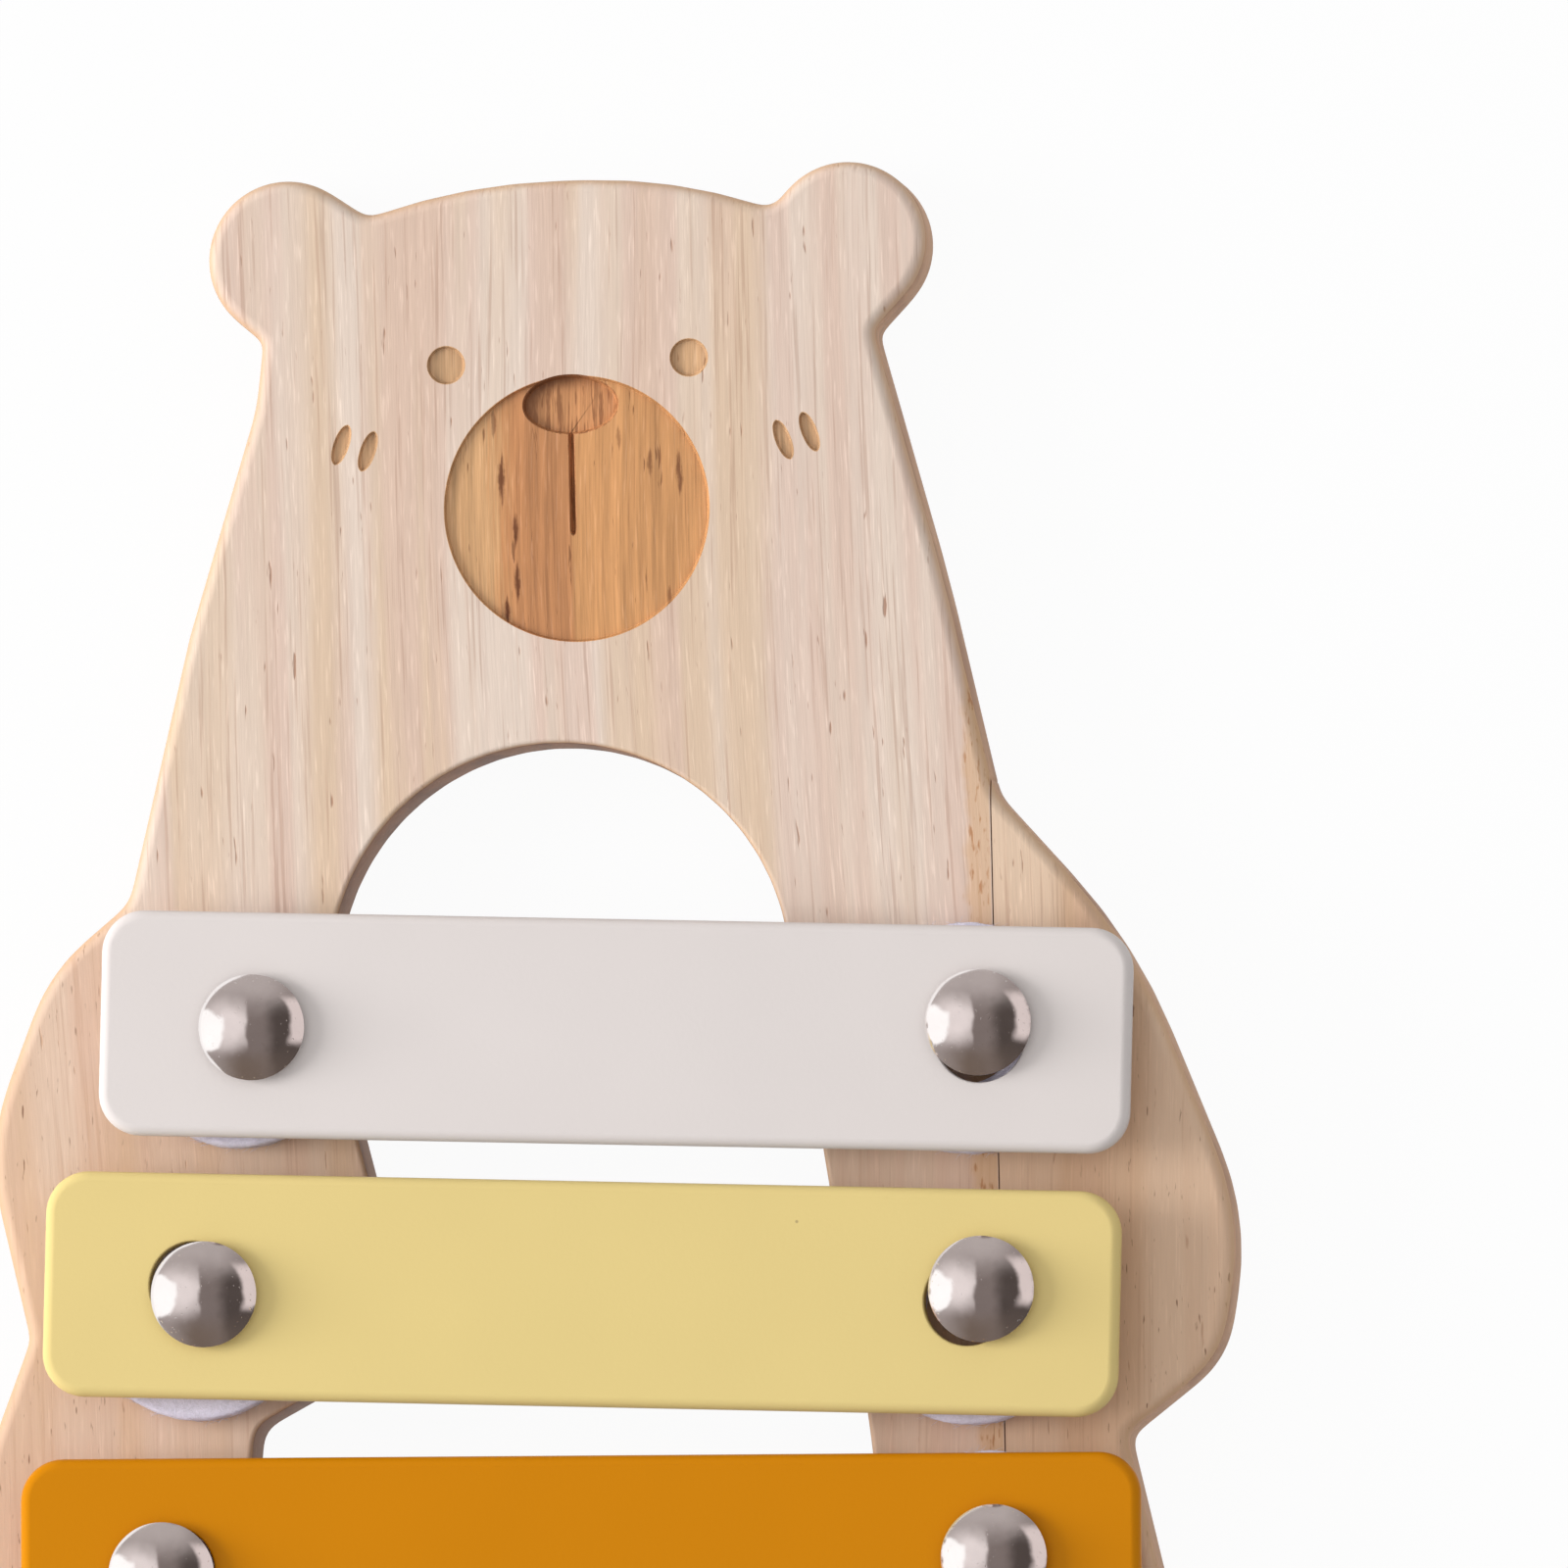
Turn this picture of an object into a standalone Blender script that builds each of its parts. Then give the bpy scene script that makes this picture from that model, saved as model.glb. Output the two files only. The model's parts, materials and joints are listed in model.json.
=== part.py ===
"""Wooden toy xylophone: a flat bear-shaped board that carries five loose painted bars.

All lengths are metres and +Z is up. The board lies on its back with the bear's head
towards +Y, and the origin is under the middle of the whole toy, on the surface it
rests on. Each bar hangs loosely on two domed studs, over a felt ring at each stud,
and swings a little about its left stud, because its holes are much wider than the
stud shanks.

Plan places are first worked out from the bear's middle line and the first bar's
centre line, and are then moved so that the board's plan box is centred.
"""

import math

import bmesh
import bpy
from mathutils import Matrix, Vector

# Bars
BAR_WIDTH = 0.0255
BAR_THICKNESS = 0.0030
BAR_GAP = 0.0049
SHORTEST_BAR = 0.117
BAR_LENGTH_STEP = 0.005
BAR_CORNER_RADIUS = 0.0048
BAR_EDGE_ROUND = 0.0012
BAR_HOLE_RADIUS = 0.0050
BAR_HOLE_INSET = 0.0171

# How the loose bars lie, from the head down: each bar's turn, and its shift sideways in
# side shifts and headwards in bar gaps
BAR_SKEW_DEGREES = (-2.6, -2.65, -1.05, -0.7, -1.3)
BAR_SIDE_SHIFT = 0.0036
BAR_SIDE_SHARES = (1.0, -0.25, -0.47, -0.55, -0.50)
BAR_ROW_SHARES = (0.0, 0.18, 0.06, 0.0, 0.0)

# Felt rings: the outer radius is a share of the row pitch, so that neighbours stay apart
FELT_PITCH_SHARE = 0.431
FELT_BORE_RADIUS = 0.00505
FELT_THICKNESS = 0.0030

# Studs
DOME_RADIUS = 0.0060
DOME_HEIGHT = 0.0030
DOME_RIM_HEIGHT = 0.0005
SHANK_RADIUS = 0.0018
SHANK_POINT_LENGTH = 0.0020
STUD_FLOOR = 0.0035

# Clearances
SEAT_GAP = 0.0003
BAR_LIFT = 0.0007

# Board
BOARD_THICKNESS = 0.0120
BOARD_EDGE_ROUND = 0.0015
WINDOW_EDGE_ROUND = 0.0006
HEAD_WIDTH = 0.0694
HEAD_HEIGHT = 0.0970
EAR_RADIUS = 0.0090
SIDE_MARGIN = 0.0100
FOOT_LENGTH = 0.0307
ARCH_HEIGHT = 0.0332
STAVE_WAIST_WIDTH = 0.0136

# Carved face
MUZZLE_RADIUS = 0.0150
MUZZLE_DEPTH = 0.0006
NOSE_HALF_WIDTH = 0.0054
NOSE_HALF_HEIGHT = 0.0033
NOSE_DEPTH = 0.0016
NOSE_ASIDE = -0.0005
MOUTH_LENGTH = 0.0115
MOUTH_WIDTH = 0.0006
MOUTH_DEPTH = 0.0014
EYE_RADIUS = 0.0021
CHEEK_MARK_LENGTH = 0.0046
CHEEK_MARK_WIDTH = 0.0016
CHEEK_MARK_TILT_DEGREES = 20.0
CHEEK_MARK_PITCH = 0.0030
CARVING_DEPTH = 0.0005

# Meshing
CHORD_ERROR = 0.00006
CUT_OVERRUN = 0.0020
LARGEST_ROUND_SHARE = 0.45
SHARP_DEGREES = 35.0
STRAIGHT_DEGREES = 1.0
WIDEST_STEP_DEGREES = 60.0
ARC_CORNER_COUNT = 3
ROUND_STEPS = 3
WINDOW_ROUND_STEPS = 2
TURNED_SEGMENTS = 20
EYE_SEGMENTS = 20
NOSE_SEGMENTS = 40
MUZZLE_SEGMENTS = 60
FELT_SEGMENTS = 28
HOLE_SEGMENTS = 24
DOME_STEPS = 5

# Places of each hole's middle from its stud, as shares of the play (sideways, headwards),
# for the left and the right end of each bar from the head down
LEFT_SEAT_SHARES = ((-0.09, 0.12), (-0.38, 0.33), (0.29, 0.16), (0.10, -0.10), (-0.15, 0.10))
RIGHT_SEAT_SHARES = ((0.02, -0.54), (-0.50, -0.41), (-0.19, -0.26), (-0.15, -0.20), (0.10, -0.25))

# Places of each felt ring's middle from its stud, as shares of the ring's own play
LEFT_FELT_SHARES = ((-0.62, -0.09), (-0.35, -0.31), (0.20, -0.30), (-0.25, -0.20), (0.20, 0.25))
RIGHT_FELT_SHARES = ((-0.51, -0.45), (-0.51, -0.62), (-0.30, -0.25), (0.30, -0.25), (-0.20, -0.30))

# Head corners: (across, up, fillet), across and fillet in head widths, up in head heights
NECK_RIGHT_SHARES = (0.671, 0.272, 0.07)
JAW_RIGHT_SHARES = (0.595, 0.527, 2.2)
CHEEK_RIGHT_SHARES = (0.490, 0.815, 0.022)
BROW_RIGHT_SHARES = (0.329, 0.960, 0.043)
CROWN_RIGHT_SHARES = (0.170, 1.000, 1.1)
CROWN_LEFT_SHARES = (-0.170, 1.000, 1.1)
BROW_LEFT_SHARES = (-0.334, 0.963, 0.043)
CHEEK_LEFT_SHARES = (-0.510, 0.820, 0.022)
TEMPLE_LEFT_SHARES = (-0.523, 0.744, 0.29)
JAW_LEFT_SHARES = (-0.641, 0.481, 2.2)
NECK_LEFT_SHARES = (-0.749, 0.169, 0.07)
EAR_RIGHT_SHARES = (0.451, 0.920)
EAR_LEFT_SHARES = (-0.467, 0.916)

# Arm corners: (rows below the first bar, margin past the bar ends, fillet), the margin in
# side margins and the fillet in bar widths
RIGHT_ARM_SHARES = ((-0.303, 0.38, 2.4), (0.733, 1.34, 1.2), (1.253, 0.93, 0.43))
LEFT_ARM_SHARES = ((-0.289, 0.35, 0.8), (0.355, 0.96, 1.0))
RIGHT_WAIST_SHARES = (1.533, -0.25, 0.086)
LEFT_WAIST_SHARES = (1.079, 0.31, 0.118)
LEFT_HIP_SHARES = (1.474, 0.68, 0.6)

# Leg and foot corners: (rows above the last bar, margin, fillet) and, for the feet,
# (across in last bar half lengths, down in foot lengths, fillet)
RIGHT_KNEE_SHARES = (0.11, 0.73, 1.2)
LEFT_KNEE_SHARES = (0.11, 1.33, 1.2)
RIGHT_FOOT_SHARES = ((1.05, 0.837, 0.8), (0.73, 1.0, 0.55), (0.41, 0.80, 1.6))
BETWEEN_FEET_SHARES = (-0.04, 0.72, 2.4)
LEFT_FOOT_SHARES = ((-0.50, 0.80, 1.6), (-0.82, 1.0, 0.55), (-1.14, 0.837, 0.8))

# Window corners: (rows below the first bar, inset from the stud line, fillet), the inset in
# felt radii and the fillet in bar widths
RIGHT_WINDOW_SHARES = (1.490, 1.08, 2.4)
LEFT_WINDOW_TOP_SHARES = (-0.072, 0.885, 0.6)
LEFT_RAIL_BULGE_SHARES = (1.112, 1.77, 0.35)
LEFT_RAIL_NOTCH_SHARES = (1.424, 0.46, 0.125)
LEFT_RAIL_LOWER_SHARES = (2.15, 0.45, 1.2)

# The arch's two ends, as insets from the first bar's holes in felt radii (left, right)
ARCH_INSET_SHARES = (0.925, 1.40)

# Lower window corners: (rows below the last bar, inset, fillet)
RIGHT_WINDOW_KNEE_SHARES = (-0.54, 1.08, 1.0)
RIGHT_WINDOW_FOOT_SHARES = (0.155, 2.14, 0.55)
LEFT_WINDOW_FOOT_SHARES = (0.155, 1.68, 0.55)
LEFT_WINDOW_KNEE_SHARES = (-0.54, 0.62, 1.0)

# Face places in the head: (across in head widths, up in head heights)
MUZZLE_SHARES = (0.0, 0.615)
EYE_SHARES = ((-0.209, 0.787), (0.189, 0.788))
CHEEK_MARK_SHARES = (0.362, 0.693)
CHEEK_MARK_RISE_SHARE = 0.27

# Colours as 8-bit screen values, and how rough and metallic each finish is
WOOD_COLOUR = (224, 200, 183)
STAVE_COLOUR = (222, 198, 180)
BAR_COLOURS = ((224, 216, 212), (228, 204, 136), (205, 128, 5), (176, 86, 40), (110, 70, 50))
FELT_COLOUR = (215, 210, 225)
STUD_COLOUR = (200, 196, 194)
WOOD_ROUGHNESS = 0.6
PAINT_ROUGHNESS = 0.45
FELT_ROUGHNESS = 0.95
STUD_ROUGHNESS = 0.08

# Derived sizes
BAR_COUNT = len(BAR_SKEW_DEGREES)
ROW_PITCH = BAR_WIDTH + BAR_GAP
FELT_RADIUS = FELT_PITCH_SHARE * ROW_PITCH
FELT_BOTTOM = BOARD_THICKNESS + SEAT_GAP
BAR_BOTTOM = FELT_BOTTOM + FELT_THICKNESS + SEAT_GAP
DOME_BOTTOM = BAR_BOTTOM + BAR_THICKNESS + BAR_LIFT
LAST_ROW = BAR_COUNT - 1
SIDES = {"left": -1, "right": 1}


def clear_scene():
    """Remove whatever objects the scene holds."""
    for item in list(bpy.data.objects):
        bpy.data.objects.remove(item, do_unlink=True)


def linear_colour(screen):
    """Turn 8-bit screen values into the linear colour that a shader takes."""
    shares = [value / 255 for value in screen]
    return [s / 12.92 if s <= 0.04045 else ((s + 0.055) / 1.055) ** 2.4 for s in shares]


def make_material(name, screen_colour, roughness, metallic=0):
    """A plain Principled material for one piece."""
    material = bpy.data.materials.new(name)
    material.use_nodes = True
    shader = material.node_tree.nodes["Principled BSDF"]
    shader.inputs["Base Color"].default_value = (*linear_colour(screen_colour), 1)
    shader.inputs["Roughness"].default_value = roughness
    shader.inputs["Metallic"].default_value = metallic
    return material


def add_empty(name, place, parent=None):
    """An empty that other pieces hang from."""
    empty = bpy.data.objects.new(name, None)
    empty.location = place
    empty.parent = parent
    bpy.context.scene.collection.objects.link(empty)
    return empty


def add_object(name, mesh_edit, parent, material=None):
    """Put a finished bmesh into the scene as one object, shaded smooth but for its edges."""
    bmesh.ops.recalc_face_normals(mesh_edit, faces=mesh_edit.faces)
    mesh = bpy.data.meshes.new(name)
    mesh_edit.to_mesh(mesh)
    mesh_edit.free()
    mesh.shade_smooth()
    mesh.set_sharp_from_angle(angle=math.radians(SHARP_DEGREES))
    item = bpy.data.objects.new(name, mesh)
    item.parent = parent
    bpy.context.scene.collection.objects.link(item)
    if material:
        mesh.materials.append(material)
    return item


def bar_half_length(row):
    """Half the length of the bar at a row, which may lie between two bars."""
    return (SHORTEST_BAR + BAR_LENGTH_STEP * row) / 2


def hole_half_spacing(row):
    """Distance from a bar's middle to either of its holes."""
    return bar_half_length(row) - BAR_HOLE_INSET


def fillet_step(radius):
    """Largest turn that keeps an arc within the chord error of its true line."""
    step = 2 * math.acos(max(0, 1 - CHORD_ERROR / radius))
    return min(step, math.radians(WIDEST_STEP_DEGREES))


def rounded_outline(corners):
    """Points of a closed outline, counterclockwise, from (place, fillet radius) corners.

    Where two fillets need more than the edge between them, both shrink to fit it.
    """
    count = len(corners)
    places = [place for place, _ in corners]
    into = [(places[i] - places[i - 1]).normalized() for i in range(count)]
    turns = [into[i].angle_signed(into[(i + 1) % count]) * -1 for i in range(count)]
    wanted = [corners[i][1] * math.tan(abs(turns[i]) / 2) for i in range(count)]
    reach = list(wanted)
    for i in range(count):
        following = (i + 1) % count
        edge = (places[following] - places[i]).length
        total = wanted[i] + wanted[following]
        if total > edge:
            reach[i] = min(reach[i], wanted[i] * edge / total)
            reach[following] = min(reach[following], wanted[following] * edge / total)
    points = []
    for i in range(count):
        if reach[i] <= CHORD_ERROR or abs(turns[i]) < math.radians(STRAIGHT_DEGREES):
            points.append(places[i])
            continue
        radius = reach[i] / math.tan(abs(turns[i]) / 2)
        start = places[i] - into[i] * reach[i]
        side = math.copysign(1, turns[i])
        centre = start + Vector((-into[i].y, into[i].x)) * (side * radius)
        steps = max(1, math.ceil(abs(turns[i]) / fillet_step(radius)))
        for step in range(steps + 1):
            swing = Matrix.Rotation(turns[i] * step / steps, 2)
            points.append(centre + swing @ (start - centre))
    return merged_points(points)


def merged_points(points):
    """Drop each point that lies within a chord error of the one before it."""
    kept = []
    for point in points:
        if not kept or (point - kept[-1]).length > CHORD_ERROR:
            kept.append(point)
    if (kept[0] - kept[-1]).length <= CHORD_ERROR:
        kept.pop()
    return kept


def touch_angle(place, centre, radius, side):
    """Where round a circle the line from a place touches it, on the given side."""
    away = place - centre
    lean = math.acos(min(1, radius / away.length))
    return math.atan2(away.y, away.x) + side * lean


def circle_corners(centre, radius, before, after):
    """Corners whose fillets join into one arc of a circle, counterclockwise.

    The arc starts where the line from `before` touches the circle and ends where the
    line to `after` touches it.
    """
    first = touch_angle(before, centre, radius, 1)
    last = touch_angle(after, centre, radius, -1)
    if last < first:
        last += math.tau
    step = (last - first) / ARC_CORNER_COUNT
    corners = []
    for index in range(ARC_CORNER_COUNT):
        angle = first + (index + 0.5) * step
        out = Vector((math.cos(angle), math.sin(angle)))
        corners.append((centre + out * (radius / math.cos(step / 2)), radius))
    return corners


def oval_outline(centre, half_width, half_height, tilt, segments):
    """Points of an ellipse, counterclockwise, its height leaned by `tilt` from +Y."""
    swing = Matrix.Rotation(tilt, 2)
    points = []
    for index in range(segments):
        angle = math.tau * index / segments
        local = Vector((half_width * math.cos(angle), half_height * math.sin(angle)))
        points.append(centre + swing @ local)
    return points


def inset_outline(outline, distance):
    """The outline moved inwards by a distance; a negative distance moves it outwards."""
    count = len(outline)
    moved = []
    for i in range(count):
        before = (outline[i] - outline[i - 1]).normalized()
        after = (outline[(i + 1) % count] - outline[i]).normalized()
        middle = (before + after).normalized()
        inward = Vector((-middle.y, middle.x))
        moved.append(outline[i] + inward * (distance / middle.dot(before)))
    return moved


def add_slab(mesh_edit, outline, levels):
    """Add a closed slab whose rings follow the outline, one ring per (height, inset) level."""
    rings = []
    for height, inset in levels:
        ring = inset_outline(outline, inset)
        rings.append([mesh_edit.verts.new((p.x, p.y, height)) for p in ring])
    count = len(outline)
    for lower, upper in zip(rings, rings[1:]):
        for i in range(count):
            j = (i + 1) % count
            mesh_edit.faces.new((lower[i], lower[j], upper[j], upper[i]))
    mesh_edit.faces.new(list(reversed(rings[0])))
    mesh_edit.faces.new(rings[-1])


def rounded_levels(bottom, top, radius, steps):
    """Levels of a slab whose bottom and top edges are rounded."""
    levels = []
    for step in range(steps + 1):
        angle = math.pi / 2 * step / steps
        levels.append((bottom + radius * (1 - math.cos(angle)), radius * (1 - math.sin(angle))))
    upper = [(bottom + top - height, inset) for height, inset in reversed(levels)]
    return levels + upper


def flared_levels(bottom, top, radius, steps):
    """Levels of a through cutter that leaves rounded edges at both of a slab's faces."""
    through = []
    for step in range(steps + 1):
        angle = math.pi / 2 * step / steps
        through.append((bottom + radius * (1 - math.cos(angle)), -radius * (1 - math.sin(angle))))
    upper = [(bottom + top - height, inset) for height, inset in reversed(through)]
    below = [(bottom - CUT_OVERRUN, through[0][1])]
    above = [(top + CUT_OVERRUN, upper[-1][1])]
    return below + through + upper + above


def make_cutter(name, slabs, parent):
    """A hidden solid, made of (outline, levels) slabs, that only cuts other pieces."""
    mesh_edit = bmesh.new()
    for outline, levels in slabs:
        add_slab(mesh_edit, outline, levels)
    cutter = add_object(name, mesh_edit, parent)
    cutter.hide_render = True
    cutter.display_type = "WIRE"
    return cutter


def cut(item, cutter):
    """Cut one solid out of another with a live Boolean."""
    boolean = item.modifiers.new("cut_" + cutter.name, "BOOLEAN")
    boolean.operation = "DIFFERENCE"
    boolean.solver = "EXACT"
    boolean.object = cutter


def turned_mesh(profile, segments, closed):
    """Spin a profile of (radius, height) points about Z into a closed solid."""
    mesh_edit = bmesh.new()
    verts = [mesh_edit.verts.new((radius, 0, height)) for radius, height in profile]
    edges = [mesh_edit.edges.new(pair) for pair in zip(verts, verts[1:])]
    if closed:
        edges.append(mesh_edit.edges.new((verts[-1], verts[0])))
    bmesh.ops.spin(
        mesh_edit,
        geom=verts + edges,
        cent=(0, 0, 0),
        axis=(0, 0, 1),
        angle=math.tau,
        steps=segments,
        use_merge=True,
    )
    bmesh.ops.remove_doubles(mesh_edit, verts=mesh_edit.verts, dist=CHORD_ERROR)
    return mesh_edit


def head_place(shares):
    """A place in the head from its shares of the head's width and height."""
    return Vector((shares[0] * HEAD_WIDTH, shares[1] * HEAD_HEIGHT))


def head_corner(shares):
    """An outline corner in the head; its fillet is a share of the head's width."""
    return head_place(shares), shares[2] * HEAD_WIDTH


def side_corner(side, shares, row_from=0):
    """An outline corner beside the bars, set off from the bar ends by the side margin."""
    row = row_from + shares[0]
    across = bar_half_length(row) + shares[1] * SIDE_MARGIN
    return Vector((side * across, -row * ROW_PITCH)), shares[2] * BAR_WIDTH


def knee_corner(side, shares):
    """An outline corner beside the last bar, measured upwards from it."""
    return side_corner(side, (-shares[0], shares[1], shares[2]), LAST_ROW)


def foot_corner(shares):
    """An outline corner below the last bar."""
    across = shares[0] * bar_half_length(LAST_ROW)
    down = LAST_ROW * ROW_PITCH + shares[1] * FOOT_LENGTH
    return Vector((across, -down)), shares[2] * BAR_WIDTH


def window_corner(side, shares, row_from=0):
    """A window corner, set in from the line of the studs by the felt ring's radius."""
    row = row_from + shares[0]
    across = hole_half_spacing(row) - shares[1] * FELT_RADIUS
    return Vector((side * across, -row * ROW_PITCH)), shares[2] * BAR_WIDTH


def ear_corners(centre_shares, before, after):
    """The corners of one round ear between the two head corners it grows from."""
    return circle_corners(head_place(centre_shares), EAR_RADIUS, before[0], after[0])


def bear_outline():
    """The bear's outer outline, counterclockwise from between the feet."""
    cheek_right = head_corner(CHEEK_RIGHT_SHARES)
    brow_right = head_corner(BROW_RIGHT_SHARES)
    brow_left = head_corner(BROW_LEFT_SHARES)
    cheek_left = head_corner(CHEEK_LEFT_SHARES)
    right = SIDES["right"]
    left = SIDES["left"]
    corners = [foot_corner(BETWEEN_FEET_SHARES)]
    corners += [foot_corner(shares) for shares in reversed(RIGHT_FOOT_SHARES)]
    corners.append(knee_corner(right, RIGHT_KNEE_SHARES))
    corners.append(side_corner(right, RIGHT_WAIST_SHARES))
    corners += [side_corner(right, shares) for shares in reversed(RIGHT_ARM_SHARES)]
    corners += [head_corner(NECK_RIGHT_SHARES), head_corner(JAW_RIGHT_SHARES), cheek_right]
    corners += ear_corners(EAR_RIGHT_SHARES, cheek_right, brow_right)
    corners += [brow_right, head_corner(CROWN_RIGHT_SHARES), head_corner(CROWN_LEFT_SHARES), brow_left]
    corners += ear_corners(EAR_LEFT_SHARES, brow_left, cheek_left)
    corners += [cheek_left, head_corner(TEMPLE_LEFT_SHARES), head_corner(JAW_LEFT_SHARES)]
    corners.append(head_corner(NECK_LEFT_SHARES))
    corners += [side_corner(left, shares) for shares in LEFT_ARM_SHARES]
    corners += [side_corner(left, LEFT_WAIST_SHARES), side_corner(left, LEFT_HIP_SHARES)]
    corners.append(knee_corner(left, LEFT_KNEE_SHARES))
    corners += [foot_corner(shares) for shares in reversed(LEFT_FOOT_SHARES)]
    return rounded_outline(corners)


def window_outline():
    """The sound window's outline: a round arch at the neck, then open down to the feet."""
    right = SIDES["right"]
    left = SIDES["left"]
    right_top = window_corner(right, RIGHT_WINDOW_SHARES)
    left_top = window_corner(left, LEFT_WINDOW_TOP_SHARES)
    arch_left = ARCH_INSET_SHARES[0] * FELT_RADIUS - hole_half_spacing(0)
    arch_right = hole_half_spacing(0) - ARCH_INSET_SHARES[1] * FELT_RADIUS
    radius = (arch_right - arch_left) / 2
    centre = Vector(((arch_right + arch_left) / 2, ARCH_HEIGHT - radius))
    corners = [
        window_corner(right, RIGHT_WINDOW_FOOT_SHARES, LAST_ROW),
        window_corner(right, RIGHT_WINDOW_KNEE_SHARES, LAST_ROW),
        right_top,
    ]
    corners += circle_corners(centre, radius, right_top[0], left_top[0])
    corners += [
        left_top,
        window_corner(left, LEFT_RAIL_BULGE_SHARES),
        window_corner(left, LEFT_RAIL_NOTCH_SHARES),
        window_corner(left, LEFT_RAIL_LOWER_SHARES),
        window_corner(left, LEFT_WINDOW_KNEE_SHARES, LAST_ROW),
        window_corner(left, LEFT_WINDOW_FOOT_SHARES, LAST_ROW),
    ]
    return rounded_outline(corners)


def bar_centre(row):
    """The middle of a bar on the plan, with the small shift that a loose bar takes."""
    across = BAR_SIDE_SHARES[row] * BAR_SIDE_SHIFT
    up = BAR_ROW_SHARES[row] * BAR_GAP - row * ROW_PITCH
    return Vector((across, up))


def hole_place(row, side):
    """The middle of a bar's hole on the plan."""
    swing = Matrix.Rotation(math.radians(BAR_SKEW_DEGREES[row]), 2)
    return bar_centre(row) + swing @ Vector((SIDES[side] * hole_half_spacing(row), 0))


def stud_place(row, side):
    """The stud's axis on the plan, off the hole's middle by a share of the play there."""
    shares = LEFT_SEAT_SHARES if side == "left" else RIGHT_SEAT_SHARES
    play = BAR_HOLE_RADIUS - SHANK_RADIUS
    return hole_place(row, side) - Vector(shares[row]) * play


def felt_place(row, side):
    """The felt ring's middle on the plan, off the stud by a share of the ring's play."""
    shares = LEFT_FELT_SHARES if side == "left" else RIGHT_FELT_SHARES
    play = FELT_BORE_RADIUS - SHANK_RADIUS
    return stud_place(row, side) + Vector(shares[row]) * play


def every_stud():
    """Each (row, side) that has a stud, from the head down."""
    return [(row, side) for row in range(BAR_COUNT) for side in SIDES]


def round_cut(centre, radius, bottom, segments):
    """A blind round cutter slab that opens through the board's top face."""
    outline = oval_outline(centre, radius, radius, 0, segments)
    return outline, [(bottom, 0), (BOARD_THICKNESS + CUT_OVERRUN, 0)]


def carving_cut(outline, depth):
    """A cutter slab for one carved pocket in the board's top face."""
    return outline, [(BOARD_THICKNESS - depth, 0), (BOARD_THICKNESS + CUT_OVERRUN, 0)]


def eye_and_cheek_cuts():
    """Cutter slabs for the two eyes and the two slanted marks on each cheek."""
    slabs = []
    for shares in EYE_SHARES:
        outline = oval_outline(head_place(shares), EYE_RADIUS, EYE_RADIUS, 0, EYE_SEGMENTS)
        slabs.append(carving_cut(outline, CARVING_DEPTH))
    for side in SIDES.values():
        for step in (-1, 1):
            middle = head_place((side * CHEEK_MARK_SHARES[0], CHEEK_MARK_SHARES[1]))
            aside = Vector((side, CHEEK_MARK_RISE_SHARE)) * (step * CHEEK_MARK_PITCH / 2)
            tilt = side * math.radians(CHEEK_MARK_TILT_DEGREES)
            half_width = CHEEK_MARK_WIDTH / 2
            half_length = CHEEK_MARK_LENGTH / 2
            outline = oval_outline(middle + aside, half_width, half_length, tilt, EYE_SEGMENTS)
            slabs.append(carving_cut(outline, CARVING_DEPTH))
    return slabs


def mouth_outline(nose_centre):
    """The mouth: a narrow slot with round ends, from inside the nose straight down."""
    half_width = MOUTH_WIDTH / 2
    top = nose_centre.y
    bottom = nose_centre.y - NOSE_HALF_HEIGHT - MOUTH_LENGTH
    corners = []
    for across, up in ((-1, bottom), (1, bottom), (1, top), (-1, top)):
        corners.append((Vector((nose_centre.x + across * half_width, up)), half_width))
    return rounded_outline(corners)


def carve_face(item, parent):
    """Sink the muzzle, the nose, the mouth, the eyes and the cheek marks into the face."""
    muzzle_centre = head_place(MUZZLE_SHARES)
    nose_rise = MUZZLE_RADIUS - NOSE_HALF_HEIGHT + SEAT_GAP / 2
    nose_centre = muzzle_centre + Vector((NOSE_ASIDE, nose_rise))
    muzzle = oval_outline(muzzle_centre, MUZZLE_RADIUS, MUZZLE_RADIUS, 0, MUZZLE_SEGMENTS)
    nose = oval_outline(nose_centre, NOSE_HALF_WIDTH, NOSE_HALF_HEIGHT, 0, NOSE_SEGMENTS)
    mouth = mouth_outline(nose_centre)
    cuts = {
        "muzzle_cutter": [carving_cut(muzzle, MUZZLE_DEPTH)],
        "nose_cutter": [carving_cut(nose, NOSE_DEPTH)],
        "mouth_cutter": [carving_cut(mouth, MOUTH_DEPTH)],
        "eye_and_cheek_cutter": eye_and_cheek_cuts(),
    }
    for name, slabs in cuts.items():
        cut(item, make_cutter(name, slabs, parent))


def rectangle_outline(low, high):
    """A plain rectangle between two plan corners, counterclockwise."""
    return [low, Vector((high.x, low.y)), high, Vector((low.x, high.y))]


def plan_box(outline):
    """The lowest and highest plan corners of an outline."""
    low = Vector((min(p.x for p in outline), min(p.y for p in outline)))
    high = Vector((max(p.x for p in outline), max(p.y for p in outline)))
    return low, high


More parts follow.
